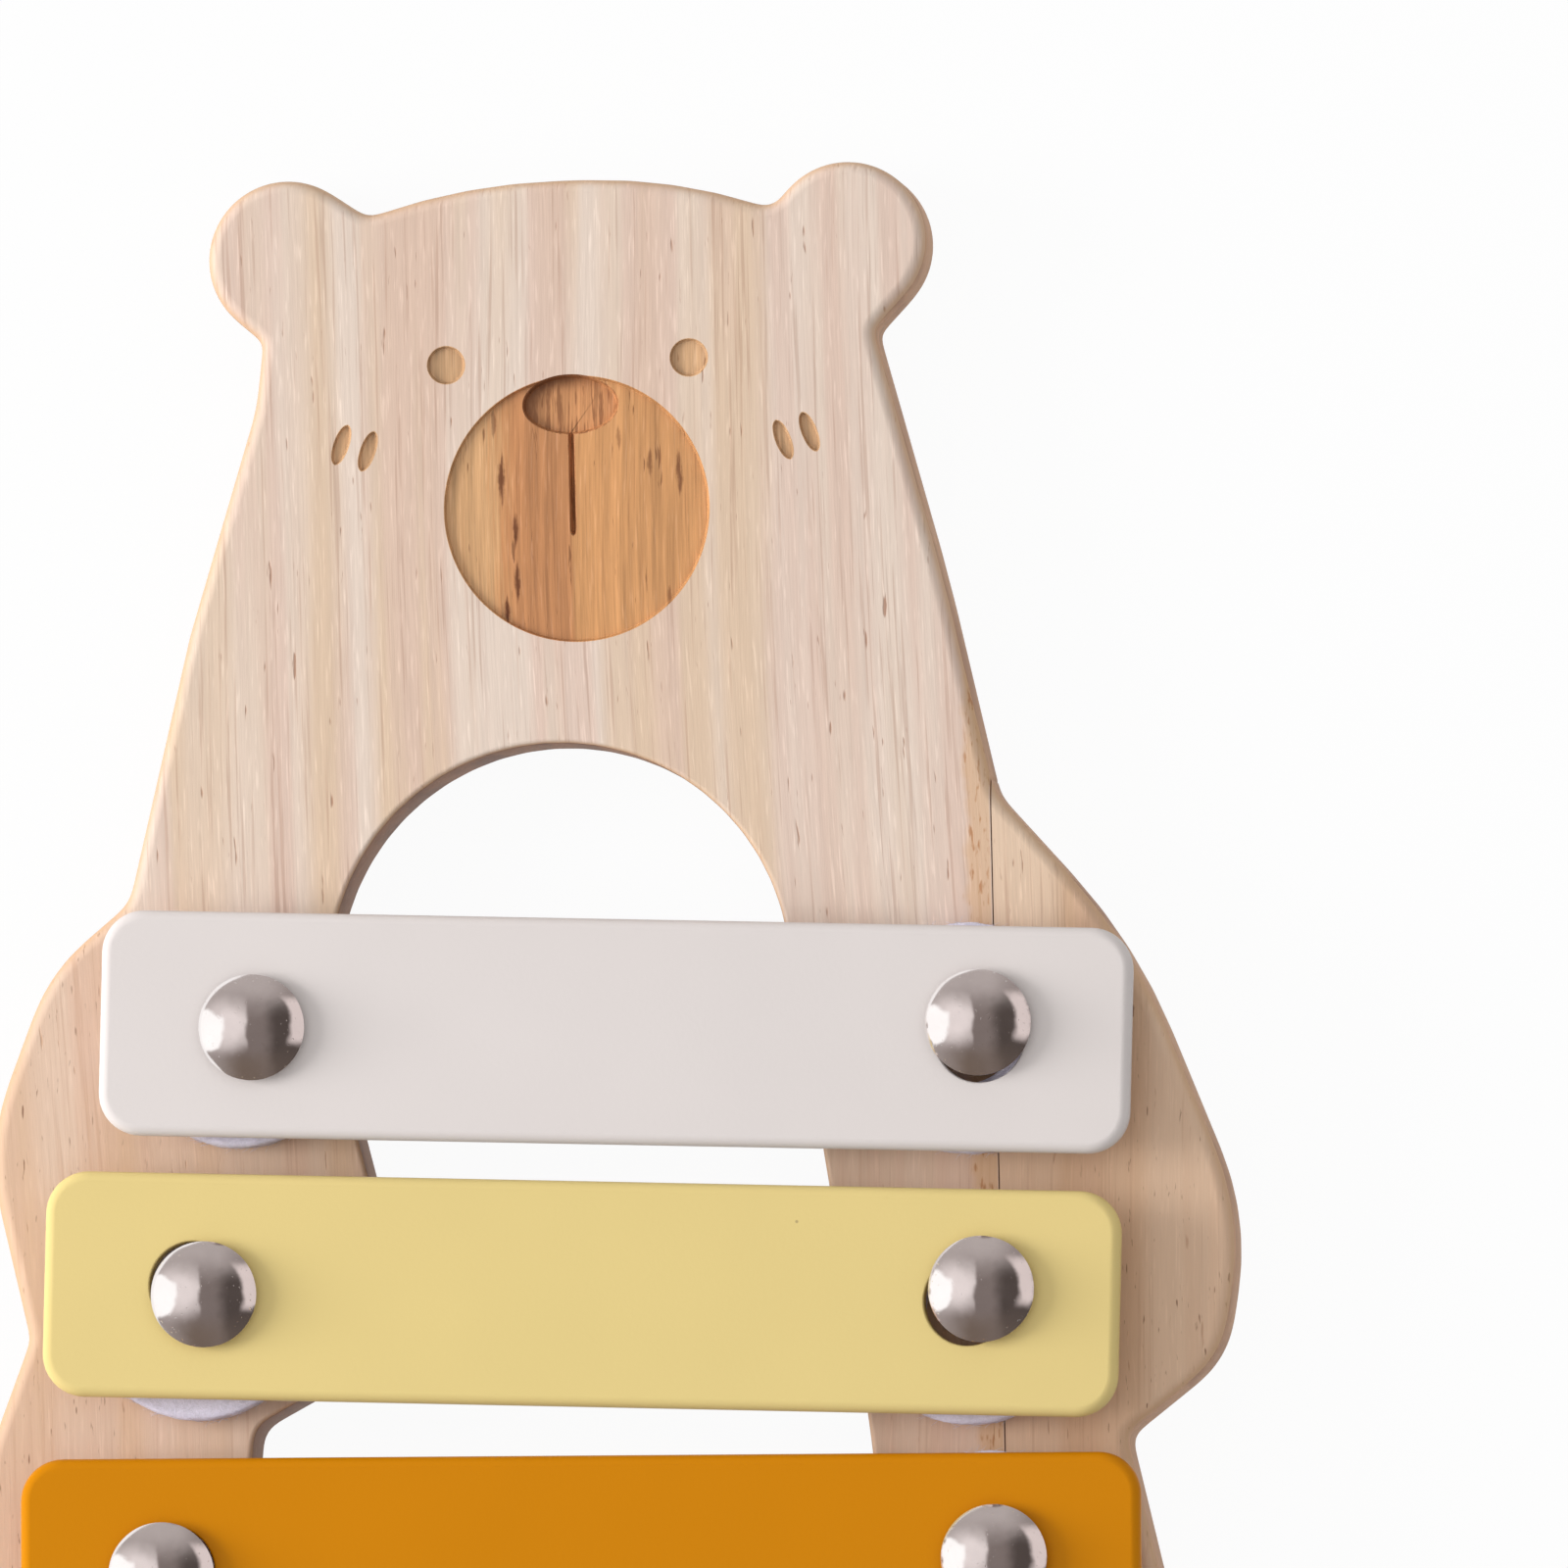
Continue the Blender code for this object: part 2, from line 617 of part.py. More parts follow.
def joint_cutters(outline, parent):
    """Cutters that leave the panel left of the glue line, and the stave right of it."""
    low, high = plan_box(outline)
    over = Vector((CUT_OVERRUN, CUT_OVERRUN))
    waist = side_corner(SIDES["right"], RIGHT_WAIST_SHARES)[0]
    line = waist.x - STAVE_WAIST_WIDTH
    levels = [(-CUT_OVERRUN, 0), (BOARD_THICKNESS + CUT_OVERRUN, 0)]
    right_side = rectangle_outline(Vector((line - SEAT_GAP / 2, low.y - over.y)), high + over)
    left_side = rectangle_outline(low - over, Vector((line + SEAT_GAP / 2, high.y + over.y)))
    keep_panel = make_cutter("glue_line_cutter_for_panel", [(right_side, levels)], parent)
    keep_stave = make_cutter("glue_line_cutter_for_stave", [(left_side, levels)], parent)
    return keep_panel, keep_stave


def board_slab(name, outline, parent, material):
    """The whole bear-shaped slab with its rounded outer edges, before it is cut."""
    edge_round = min(BOARD_EDGE_ROUND, BOARD_THICKNESS * LARGEST_ROUND_SHARE)
    mesh_edit = bmesh.new()
    add_slab(mesh_edit, outline, rounded_levels(0, BOARD_THICKNESS, edge_round, ROUND_STEPS))
    return add_object(name, mesh_edit, parent, material)


def pilot_cutter(parent):
    """Blind holes for the ten stud shanks."""
    radius = SHANK_RADIUS + SEAT_GAP
    bottom = STUD_FLOOR - SEAT_GAP
    slabs = []
    for row, side in every_stud():
        slabs.append(round_cut(stud_place(row, side), radius, bottom, TURNED_SEGMENTS))
    return make_cutter("pilot_hole_cutter", slabs, parent)


def make_board(parent):
    """The bear: a wide panel and the narrow stave that is glued to its right edge."""
    outline = bear_outline()
    window_round = min(WINDOW_EDGE_ROUND, BOARD_THICKNESS * LARGEST_ROUND_SHARE)
    window_levels = flared_levels(0, BOARD_THICKNESS, window_round, WINDOW_ROUND_STEPS)
    window = make_cutter("window_cutter", [(window_outline(), window_levels)], parent)
    pilots = pilot_cutter(parent)
    keep_panel, keep_stave = joint_cutters(outline, parent)
    panel_finish = make_material("bear_panel", WOOD_COLOUR, WOOD_ROUGHNESS)
    stave_finish = make_material("bear_right_stave", STAVE_COLOUR, WOOD_ROUGHNESS)
    panel = board_slab("bear_panel", outline, parent, panel_finish)
    stave = board_slab("bear_right_stave", outline, parent, stave_finish)
    cut(panel, keep_panel)
    cut(stave, keep_stave)
    for item in (panel, stave):
        cut(item, window)
        cut(item, pilots)
    carve_face(panel, parent)


def bar_outline(row):
    """A bar's rounded rectangle about its own middle."""
    half_length = bar_half_length(row)
    half_width = BAR_WIDTH / 2
    corners = []
    for across, up in ((-1, -1), (1, -1), (1, 1), (-1, 1)):
        corners.append((Vector((across * half_length, up * half_width)), BAR_CORNER_RADIUS))
    return rounded_outline(corners)


def make_bar(row, parent):
    """One painted bar with its two wide holes, hung from a pivot on its left stud's axis."""
    name = f"bar_{row + 1}"
    pivot_place = stud_place(row, "left")
    pivot = add_empty(name + "_pivot", (*pivot_place, 0), parent)
    edge_round = min(BAR_EDGE_ROUND, BAR_THICKNESS * LARGEST_ROUND_SHARE)
    top = BAR_BOTTOM + BAR_THICKNESS
    mesh_edit = bmesh.new()
    add_slab(mesh_edit, bar_outline(row), rounded_levels(BAR_BOTTOM, top, edge_round, ROUND_STEPS))
    finish = make_material(name, BAR_COLOURS[row], PAINT_ROUGHNESS)
    bar = add_object(name, mesh_edit, pivot, finish)
    bar.location = (*(bar_centre(row) - pivot_place), 0)
    bar.rotation_euler.z = math.radians(BAR_SKEW_DEGREES[row])
    levels = [(BAR_BOTTOM - CUT_OVERRUN, 0), (top + CUT_OVERRUN, 0)]
    slabs = []
    for side in SIDES:
        centre = hole_place(row, side)
        slabs.append((oval_outline(centre, BAR_HOLE_RADIUS, BAR_HOLE_RADIUS, 0, HOLE_SEGMENTS), levels))
    cut(bar, make_cutter(name + "_hole_cutter", slabs, parent))


def stud_profile():
    """Half a stud from the dome's top down its outer side to the shank's point.

    The dome is a slice of a ball over a short rim, as a stamped nail head is.
    """
    rise = DOME_HEIGHT - DOME_RIM_HEIGHT
    edge_angle = 2 * math.atan(rise / DOME_RADIUS)
    ball_radius = DOME_RADIUS / math.sin(edge_angle)
    ball_centre = DOME_BOTTOM + DOME_HEIGHT - ball_radius
    profile = []
    for step in range(DOME_STEPS + 1):
        angle = edge_angle * step / DOME_STEPS
        profile.append((ball_radius * math.sin(angle), ball_centre + ball_radius * math.cos(angle)))
    profile.append((DOME_RADIUS - DOME_RIM_HEIGHT / 2, DOME_BOTTOM))
    profile.append((SHANK_RADIUS, DOME_BOTTOM))
    profile.append((SHANK_RADIUS, STUD_FLOOR + SHANK_POINT_LENGTH))
    profile.append((0, STUD_FLOOR))
    return profile


def make_stud(row, side, parent):
    """One turned stud: a polished dome on a plain shank that is driven into the board."""
    name = f"stud_{row + 1}_{side}"
    finish = make_material(name, STUD_COLOUR, STUD_ROUGHNESS, 1)
    stud = add_object(name, turned_mesh(stud_profile(), TURNED_SEGMENTS, False), parent, finish)
    stud.location = (*stud_place(row, side), 0)


def make_felt(row, side, parent):
    """One felt ring that lies on the board around a stud and carries the bar's end."""
    name = f"felt_{row + 1}_{side}"
    top = FELT_BOTTOM + FELT_THICKNESS
    profile = [
        (FELT_BORE_RADIUS, FELT_BOTTOM),
        (FELT_RADIUS, FELT_BOTTOM),
        (FELT_RADIUS, top),
        (FELT_BORE_RADIUS, top),
    ]
    finish = make_material(name, FELT_COLOUR, FELT_ROUGHNESS)
    felt = add_object(name, turned_mesh(profile, FELT_SEGMENTS, True), parent, finish)
    felt.location = (*felt_place(row, side), 0)


def main():
    """Build the whole toy, centred over the origin."""
    clear_scene()
    low, high = plan_box(bear_outline())
    middle = (low + high) / 2
    toy = add_empty("xylophone", (-middle.x, -middle.y, 0))
    make_board(toy)
    for row in range(BAR_COUNT):
        make_bar(row, toy)
    for row, side in every_stud():
        make_felt(row, side, toy)
        make_stud(row, side, toy)


main()
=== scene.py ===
"""The looks of the bear xylophone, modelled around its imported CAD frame.

Every piece stands where its CAD node stands, in metres with +Z up. The board is modelled
from the CAD's own sections, and the bars, studs and felt rings from their measures.
"""

import json
import math
from functools import partial, partialmethod
from random import Random

import bmesh
import bpy
from bpy.props import FloatProperty, FloatVectorProperty, IntProperty, PointerProperty
from mathutils import Matrix, Vector, noise


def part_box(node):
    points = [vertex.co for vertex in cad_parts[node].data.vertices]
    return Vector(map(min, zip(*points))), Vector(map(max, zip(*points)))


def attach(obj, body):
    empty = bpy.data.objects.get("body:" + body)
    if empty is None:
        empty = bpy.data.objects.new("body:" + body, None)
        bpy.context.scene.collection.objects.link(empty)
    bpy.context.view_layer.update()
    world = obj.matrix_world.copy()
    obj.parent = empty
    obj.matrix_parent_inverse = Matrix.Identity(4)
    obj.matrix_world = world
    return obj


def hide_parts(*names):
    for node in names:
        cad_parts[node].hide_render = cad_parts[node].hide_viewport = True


bl_info = {
    "name": "Bear xylophone",
    "version": (1, 0, 0),
    "blender": (4, 5, 0),
    "location": "3D View > Sidebar > Xylophone",
    "description": "Models and finishes a wooden bear xylophone around its CAD frame",
    "category": "Add Mesh",
}

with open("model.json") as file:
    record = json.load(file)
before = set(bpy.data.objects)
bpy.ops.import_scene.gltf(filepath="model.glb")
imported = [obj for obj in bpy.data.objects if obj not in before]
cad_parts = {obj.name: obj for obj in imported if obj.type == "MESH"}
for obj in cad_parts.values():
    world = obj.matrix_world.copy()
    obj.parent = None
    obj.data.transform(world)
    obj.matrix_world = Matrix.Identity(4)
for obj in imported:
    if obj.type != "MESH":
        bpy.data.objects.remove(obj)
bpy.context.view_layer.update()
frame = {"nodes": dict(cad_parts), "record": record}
nodes = frame["nodes"]
panel_low, panel_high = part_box("bear_panel")
stave_low, stave_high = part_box("bear_right_stave")

MM = 0.001
MERGE = 0.00002
PLANE_REACH = 0.000001
SIDES = ("left", "right")
ROWS = range(1, 6)
SECTION_HEIGHT = 2.4 * MM
OUTLINE_SPACING = 0.7 * MM
CARVE_SPACING = 0.25 * MM
FELT_SPACING = 0.5 * MM
FACET_DEGREES = 1
CORNER_DEGREES = 45
SHARP_DEGREES = 35
STUD_SHARP_DEGREES = 30
OVERRUN = 1 * MM
WALL_SLOPE = 0.3
LEVEL_SHARE = 0.99999
EDGE_STEPS = 6
RIM_STEPS = 4
CARVE_STEPS = 3
CORNER_STEPS = 12
DOME_STEPS = 16
MUZZLE_SEGMENTS = 160
FELT_SEGMENTS = 110
FLOOR_SEGMENTS = 96
ROUND_SEGMENTS = 64
HOLE_SEGMENTS = 32
LUMP_SIZE = 1.7 * MM
DENT_SIZE = 3 * MM
LUMP_MIDDLE = 0.6
FIBRE_SHAPES = 6
FIBRE_SIDES = 3
FIBRE_CUTS = 4
FIBRE_SEED = 11
SENSOR_WIDTH = 36
VIEW_BEYOND = 20
DOME_SPREAD = 1.41
TENT_WAVE = 0.12
TENT_STRENGTH = 1.12
ZENITH = 1.15

# Each resin streak's place about the muzzle's middle, half width and half length in mm, and its strength.
STREAKS = (
    (-8.5, 3.6, 0.44, 3.0, 0.9),
    (-7.1, -2.1, 0.38, 2.0, 0.9),
    (-7.0, -8.0, 0.4, 2.4, 0.95),
    (-8.2, -11.3, 0.44, 1.7, 1.0),
    (-9.3, 10.0, 0.36, 1.8, 0.6),
    (11.7, 3.8, 0.42, 2.6, 0.8),
    (8.4, 5.0, 0.34, 1.7, 0.65),
    (4.9, 8.0, 0.3, 1.4, 0.5),
    (10.3, -10.2, 0.36, 1.3, 0.6),
)


def length(name, description, default):
    """A length property, given in millimetres."""
    return FloatProperty(
        name=name, description=description, default=default * MM, min=0, unit="LENGTH", precision=5,
    )


def share(name, description, default):
    """A property between 0 and 1."""
    return FloatProperty(
        name=name, description=description, default=default, min=0, max=1, subtype="FACTOR",
    )


def place(name, description, default):
    """A place in the scene, in metres."""
    return FloatVectorProperty(
        name=name, description=description, default=default, size=3, subtype="TRANSLATION", unit="LENGTH",
    )


def colour(name, description, *screen):
    """A colour property, given as the 8-bit values that a screen shows."""
    shares = [part / 255 for part in screen]
    linear = [s / 12.92 if s <= 0.04045 else ((s + 0.055) / 1.055) ** 2.4 for s in shares]
    return FloatVectorProperty(
        name=name, description=description, default=linear, size=3, min=0, max=1, subtype="COLOR",
    )


class BoardSettings(bpy.types.PropertyGroup):
    """Sizes and colours of the wooden bear."""

    edge_round: length("Edge rounding", "Radius of the outer edges", 1.5)
    window_round: length("Window rounding", "Radius of the window's edges", 0.6)
    carve_round: length("Carving rounding", "Radius at a carved pocket's rim", 0.12)
    muzzle_depth: length("Muzzle depth", "Depth of the round pocket", 0.6)
    nose_depth: length("Nose depth", "Depth of the nose and the mouth", 1.6)
    mark_depth: length("Mark depth", "Depth of the eyes and cheek marks", 0.5)
    muzzle_taper: length("Muzzle taper", "How far the muzzle's and marks' walls lean", 0.12)
    nose_taper: length("Nose taper", "How far the nose's and mouth's walls lean", 0.22)
    seam_gap: length("Glue line", "Width between the panel and the stave", 0.14)
    mark_limit: length("Mark limit", "Widest outline that counts as a mark", 8)
    hole_radius: length("Stud hole radius", "Radius of a blind hole", 2.1)
    hole_floor: length("Stud hole floor", "Wood left below a blind hole", 3.2)
    pale: colour("Pale wood", "Most of the washed face", 228, 209, 194)
    warm: colour("Warm wood", "Warmer bands of the face", 222, 195, 169)
    rosy: colour("Rosy wood", "Pinkish bands of the face", 220, 191, 175)
    pore: colour("Pores", "Short brown dashes along the grain", 166, 122, 98)
    stave_pale: colour("Stave", "Most of the glued stave", 226, 198, 172)
    stave_warm: colour("Stave, warm", "Warmer bands of the stave", 214, 179, 147)
    stave_rosy: colour("Stave, rosy", "Pinkish bands of the stave", 214, 178, 150)
    edge_pale: colour("Sawn wood", "Sides of the board", 208, 160, 120)
    edge_dark: colour("Sawn wood, dark", "Dark grain on the sides", 160, 108, 72)
    # Painted shade: the window's walls are coloured darker than the board's other sawn sides.
    window_pale: colour("Window wall", "Scorched walls of the window", 166, 116, 80)
    window_dark: colour("Window wall, dark", "Dark grain on those walls", 118, 74, 46)
    rim: colour("Rim", "Bare wood at the round edges", 212, 172, 134)
    # At the left side this is the wood's own tone; low down, among the bars, it paints shade.
    tan_and_low_shade: colour("Tanned wood", "Warmer wood at the left side and the feet", 216, 177, 145)
    strip: colour("Glue strip", "Tan strip beside the glue line", 214, 170, 122)
    spot: colour("Glue spots", "Orange-brown spots in that strip", 178, 116, 66)
    muzzle: colour("Muzzle", "Tan wood of the muzzle", 212, 154, 101)
    muzzle_light: colour("Muzzle, light", "Yellow side of the muzzle", 215, 167, 119)
    muzzle_rosy: colour("Muzzle, rosy", "Pinkish strip beside the mouth", 200, 139, 92)
    # The streak colour also paints the shade at the nose's far left rim.
    streak: colour("Streaks", "Dark resin streaks and burns", 108, 60, 33)
    nose: colour("Nose", "Wood inside the nose", 214, 152, 102)
    mark: colour("Marks", "Wood inside the eyes and cheek marks", 212, 170, 128)
    nose_wall: colour("Nose wall", "Walls of the nose and the mouth", 176, 116, 70)
    groove: colour("Groove", "Burnt walls of the carving", 140, 92, 58)


class BarSettings(bpy.types.PropertyGroup):
    """Sizes and colours of the painted bars."""

    edge_round: length("Edge rounding", "Radius of a bar's edges", 1.2)
    corner: length("Corner radius", "Radius of a bar's corners in plan", 4.8)
    hole_round: length("Hole rounding", "Radius at a hole's rim", 0.25)
    bar_1: colour("Bar 1", "Paint of the bar at the neck", 224, 216, 213)
    bar_2: colour("Bar 2", "Paint of the second bar", 229, 206, 138)
    bar_3: colour("Bar 3", "Paint of the third bar", 207, 130, 0)
    bar_4: colour("Bar 4", "Paint of the fourth bar", 176, 86, 40)
    bar_5: colour("Bar 5", "Paint of the bar at the feet", 110, 70, 50)


class StudSettings(bpy.types.PropertyGroup):
    """Sizes and colour of the domed studs."""

    dome_height: length("Dome height", "Height of the dome with its rim", 3)
    dome_rim: length("Rim height", "Height of the upright rim", 0.5)
    dome_ease: length("Rim ease", "Chamfer below the rim", 0.2)
    dent: length("Dents", "Depth of the dome's shallow dents", 0.04)
    shank: length("Shank radius", "Radius of the shank below", 1.8)
    metal: colour("Metal", "Polished nickel", 246, 240, 238)


class FeltSettings(bpy.types.PropertyGroup):
    """Sizes and colour of the felt rings."""

    bore: length("Bore radius", "Radius of a ring's hole", 5.05)
    edge_round: length("Edge rounding", "Radius of a ring's edges", 0.7)
    lump: length("Lumps", "How far the surface goes in and out", 0.12)
    swell: length("Swell", "How far the wool swells up and down", 0.2)
    fibres: IntProperty(name="Fibres", description="Loose fibres on each ring", default=170, min=0)
    fibre_radius: length("Fibre radius", "Radius of a loose fibre", 0.03)
    fibre_length: length("Fibre length", "Length of a loose fibre", 2.2)
    wool: colour("Wool", "Pale lavender wool", 224, 219, 237)


class StageSettings(bpy.types.PropertyGroup):
    """The floor, the light and the camera."""

    floor: colour("Floor", "The pale floor", 228, 228, 228)
    floor_glow: share("Floor whiteness", "How far the floor is plain white where it is seen", 0.95)
    floor_gap: length("Floor gap", "How far the floor lies below the toy", 0.05)
    floor_radius: length("Floor radius", "Radius of the floor", 3000)
    tent_radius: length("Tent radius", "Radius of the tent that the metal mirrors", 2500)
    tent_top: colour("Tent, top", "The tent beyond the head", 171, 163, 161)
    tent_dark: colour("Tent, dark", "The dark middle", 118, 108, 105)
    tent_band: colour("Tent, band", "The darkest band, right of the middle", 76, 68, 65)
    tent_near: colour("Tent, near", "The tent beyond the feet", 108, 95, 86)
    tent_wall: colour("Tent, wall", "The lit wall beside the window", 222, 214, 213)
    tent_window: colour("Tent, window", "The bright window", 255, 255, 255)
    tent_strip: colour("Tent, strip", "The bright strip at the right", 220, 208, 206)
    key_place: place("Key place", "Where the window light stands", (-1.6, 0.16, 0.65))
    key_width: length("Key width", "Width of the window light", 860)
    key_height: length("Key height", "Height of the window light", 860)
    key_strength: FloatProperty(
        name="Key", description="Power of the window light", default=29.6, min=0, unit="POWER",
    )
    fill_strength: share("Fill", "Strength of the soft light from above", 0.78)
    fill_horizon: share("Fill, horizon", "Share of the soft light left at the horizon", 0.48)
    fill_shade: share("Fill, shade", "Share of the soft light left at the near right side", 0.58)
    camera_target: place("Camera target", "The middle of the picture", (0.0259, 0.0546, 0.012))
    camera_direction: place("Camera direction", "The way from target to camera", (0.09025, -0.05805, 1))
    camera_distance: length("Camera distance", "From target to camera", 4000)
    frame_width: length("Frame width", "Width of the picture at the target", 177.28)
    camera_roll: FloatProperty(name="Camera roll", description="Turn of the picture, degrees", default=1.28)


class Graph:
    """Short calls that add shader nodes to one tree."""

    def __init__(self, tree):
        self.tree = tree

    def fill(self, node, inputs):
        """A node with its inputs linked or set; plain colours become opaque."""
        for key, value in inputs.items():
            socket = node.inputs[key]
            if isinstance(value, bpy.types.NodeSocket):
                self.tree.links.new(value, socket)
            else:
                socket.default_value = (*value[:3], 1) if socket.type == "RGBA" else value
        return node

    def add(self, kind, inputs, **settings):
        """A new node with its settings and inputs."""
        node = self.tree.nodes.new("ShaderNode" + kind)
        for key, value in settings.items():
            setattr(node, key, value)
        return self.fill(node, inputs)

    def group(self, name, build, inputs):
        """The outputs of a node group that is built once."""
        tree = bpy.data.node_groups.get(name) or build()
        return self.add("Group", inputs, node_tree=tree).outputs

    def shade(self, inputs):
        """The tree's own surface shader with its inputs."""
        return self.fill(self.tree.nodes["Principled BSDF"], inputs)

    def number(self, operation, *values):
        """One number worked out from others."""
        return self.add("Math", dict(enumerate(values)), operation=operation).outputs[0]

    plus = partialmethod(number, "ADD")
    minus = partialmethod(number, "SUBTRACT")
    times = partialmethod(number, "MULTIPLY")
    over = partialmethod(number, "DIVIDE")
    line = partialmethod(number, "MULTIPLY_ADD")
    most = partialmethod(number, "MAXIMUM")
    size = partialmethod(number, "ABSOLUTE")

    def vector(self, operation, *values):
        """One vector worked out from others."""
        return self.add("VectorMath", dict(enumerate(values)), operation=operation).outputs[0]

    def scaled(self, vector, amount):
        """A vector or a colour times a number."""
        return self.add("VectorMath", {0: vector, "Scale": amount}, operation="SCALE").outputs[0]

    def about(self, vector, middle, reach):
        """Where a vector lies about a middle in plan, in shares of a reach, and how far out."""
        moved = self.vector("SUBTRACT", vector, (*middle, 0))
        spread = self.vector("MULTIPLY", moved, (1 / reach[0], 1 / reach[1], 0))
        return spread, self.add("VectorMath", {0: spread}, operation="LENGTH").outputs["Value"]

    def bent(self, vector, scale, amount):
        """A vector pushed about by noise, by an amount along each axis."""
        push = self.add("TexNoise", {"Vector": vector, "Scale": scale, "Detail": 2.0}).outputs["Color"]
        return self.vector("MULTIPLY_ADD", self.vector("SUBTRACT", push, (0.5, 0.5, 0.5)), amount, vector)

    def split(self, vector):
        """The parts of a vector, named X, Y and Z."""
        return self.add("SeparateXYZ", {"Vector": vector}).outputs

    def place(self, kind="Object"):
        """One kind of texture coordinates."""
        return self.add("TexCoord", {}).outputs[kind]

    def bump(self, height, depth):
        """A normal from a height that spans the given depth in metres."""
        return self.add("Bump", {"Height": height, "Distance": depth}).outputs[0]

    def mixed(self, amount, first, second):
        """Two colours mixed by an amount."""
        return self.add("Mix", {0: amount, 6: first, 7: second}, data_type="RGBA").outputs[2]

    def step(self, value, low, high, smallest=0.0, largest=1.0):
        """A smooth step of a value from low to high."""
        inputs = {"Value": value, "From Min": low, "From Max": high, "To Min": smallest, "To Max": largest}
        return self.add("MapRange", inputs, interpolation_type="SMOOTHSTEP").outputs[0]

    def cloud(self, position, size, detail=2.0, roughness=0.5, shift=(0, 0, 0)):
        """A noise with lumps of the given size in millimetres."""
        scale = tuple(1 / s for s in size)
        moved = self.add("Mapping", {"Vector": position, "Scale": scale, "Location": shift}).outputs[0]
        inputs = {"Vector": moved, "Scale": 1.0, "Detail": detail, "Roughness": roughness}
        return self.add("TexNoise", inputs).outputs["Fac"]


def new_group(name, inputs, outputs):
    """A node group's graph, its inputs and a call that fills its outputs."""
    tree = bpy.data.node_groups.new(name, "ShaderNodeTree")
    for way, sockets in (("INPUT", inputs), ("OUTPUT", outputs)):
        for label, kind in sockets.items():
            tree.interface.new_socket(label, in_out=way, socket_type="NodeSocket" + kind)
    graph = Graph(tree)

    def finish(**values):
        graph.fill(tree.nodes.new("NodeGroupOutput"), {label: values[label.lower()] for label in outputs})
        return tree

    return graph, tree.nodes.new("NodeGroupInput").outputs, finish


def wood_grain_group():
    """Grain along Y: soft bands, fine fibres, light flecks and brown pores."""
    tones = dict.fromkeys(("Pale", "Warm", "Rosy", "Pore"), "Color")
    graph, source, finish = new_group(
        "wood_grain",
        {"Position": "Vector", **tones, "Pores": "Float", "Fibres": "Float"},
        {"Colour": "Color", "Height": "Float", "Roughness": "Float"},
    )
    position = source["Position"]
    sway = graph.line(graph.cloud(position, (70, 110, 60), 1.0), 9.0, -4.5)
    swayed = graph.vector("ADD", position, graph.add("CombineXYZ", {"X": sway}).outputs[0])
    warm = graph.step(graph.cloud(swayed, (7, 240, 30), 1.5), 0.42, 0.62)
    rosy = graph.step(graph.cloud(swayed, (4.5, 160, 24), 2.0, 0.5, (7, 3, 1)), 0.48, 0.68)
    tone = graph.mixed(warm, source["Pale"], source["Warm"])
    tone = graph.mixed(graph.times(rosy, 0.7), tone, source["Rosy"])
    coarse = graph.cloud(swayed, (0.75, 26, 2), 3.0, 0.6, (2, 5, 9))
    fine = graph.cloud(swayed, (0.24, 8, 0.6), 3.0, 0.65)
    fibre = graph.line(coarse, 0.55, graph.times(fine, 0.45))
    shade = graph.line(graph.minus(fibre, 0.5), source["Fibres"], 1.0)
    toned = graph.scaled(tone, shade)
    fleck = graph.step(graph.cloud(swayed, (0.26, 4.2, 0.9), 1.5, 0.5, (4, 4, 4)), 0.56, 0.76, 0.0, 0.45)
    bright = graph.vector("MULTIPLY_ADD", toned, (1.25, 1.25, 1.25), (0.08, 0.08, 0.08))
    toned = graph.mixed(fleck, toned, bright)
    vein = graph.step(graph.cloud(swayed, (0.42, 24, 1.4), 2.0, 0.55, (6, 1, 2)), 0.56, 0.7, 0.0, 0.42)
    toned = graph.mixed(graph.times(vein, source["Pores"]), toned, source["Pore"])
    spots = graph.cloud(swayed, (0.62, 5.2, 1.2), 2.0, 0.55, (1, 8, 2))
    crowd = graph.step(graph.cloud(position, (9, 30, 20), 1.0, 0.5, (3, 1, 5)), 0.35, 0.65, 0.05, 0.0)
    depth = graph.step(graph.minus(spots, crowd), 0.655, 0.745)
    pores = graph.times(depth, source["Pores"])
    toned = graph.mixed(pores, toned, source["Pore"])
    height = graph.minus(fibre, graph.times(pores, 0.8))
    return finish(colour=toned, height=height, roughness=graph.line(fine, 0.22, 0.46))


def streak_group():
    """A mask of one ragged resin streak that runs along Y about a place."""
    graph, source, finish = new_group(
        "resin_streak",
        {"Position": "Vector", "Place": "Vector", "Half width": "Float", "Half length": "Float"},
        {"Mask": "Float"},
    )
    position = source["Position"]
    wobble = graph.cloud(position, (3, 2.2, 3), 3.0, 0.6)
    parts = graph.split(graph.vector("SUBTRACT", position, source["Place"]))
    aside = graph.plus(parts["X"], graph.line(wobble, 0.6, -0.3))
    across = graph.size(graph.over(aside, source["Half width"]))
    along = graph.size(graph.over(parts["Y"], source["Half length"]))
    ragged = graph.cloud(position, (0.16, 1.6, 0.4), 3.0, 0.65, (5, 5, 5))
    reach = graph.plus(across, graph.times(graph.number("POWER", along, 2.0), 0.9))
    reach = graph.plus(reach, graph.line(ragged, 1.6, -0.8))
    return finish(mask=graph.step(reach, 0.2, 1.2, 1.0, 0.0))


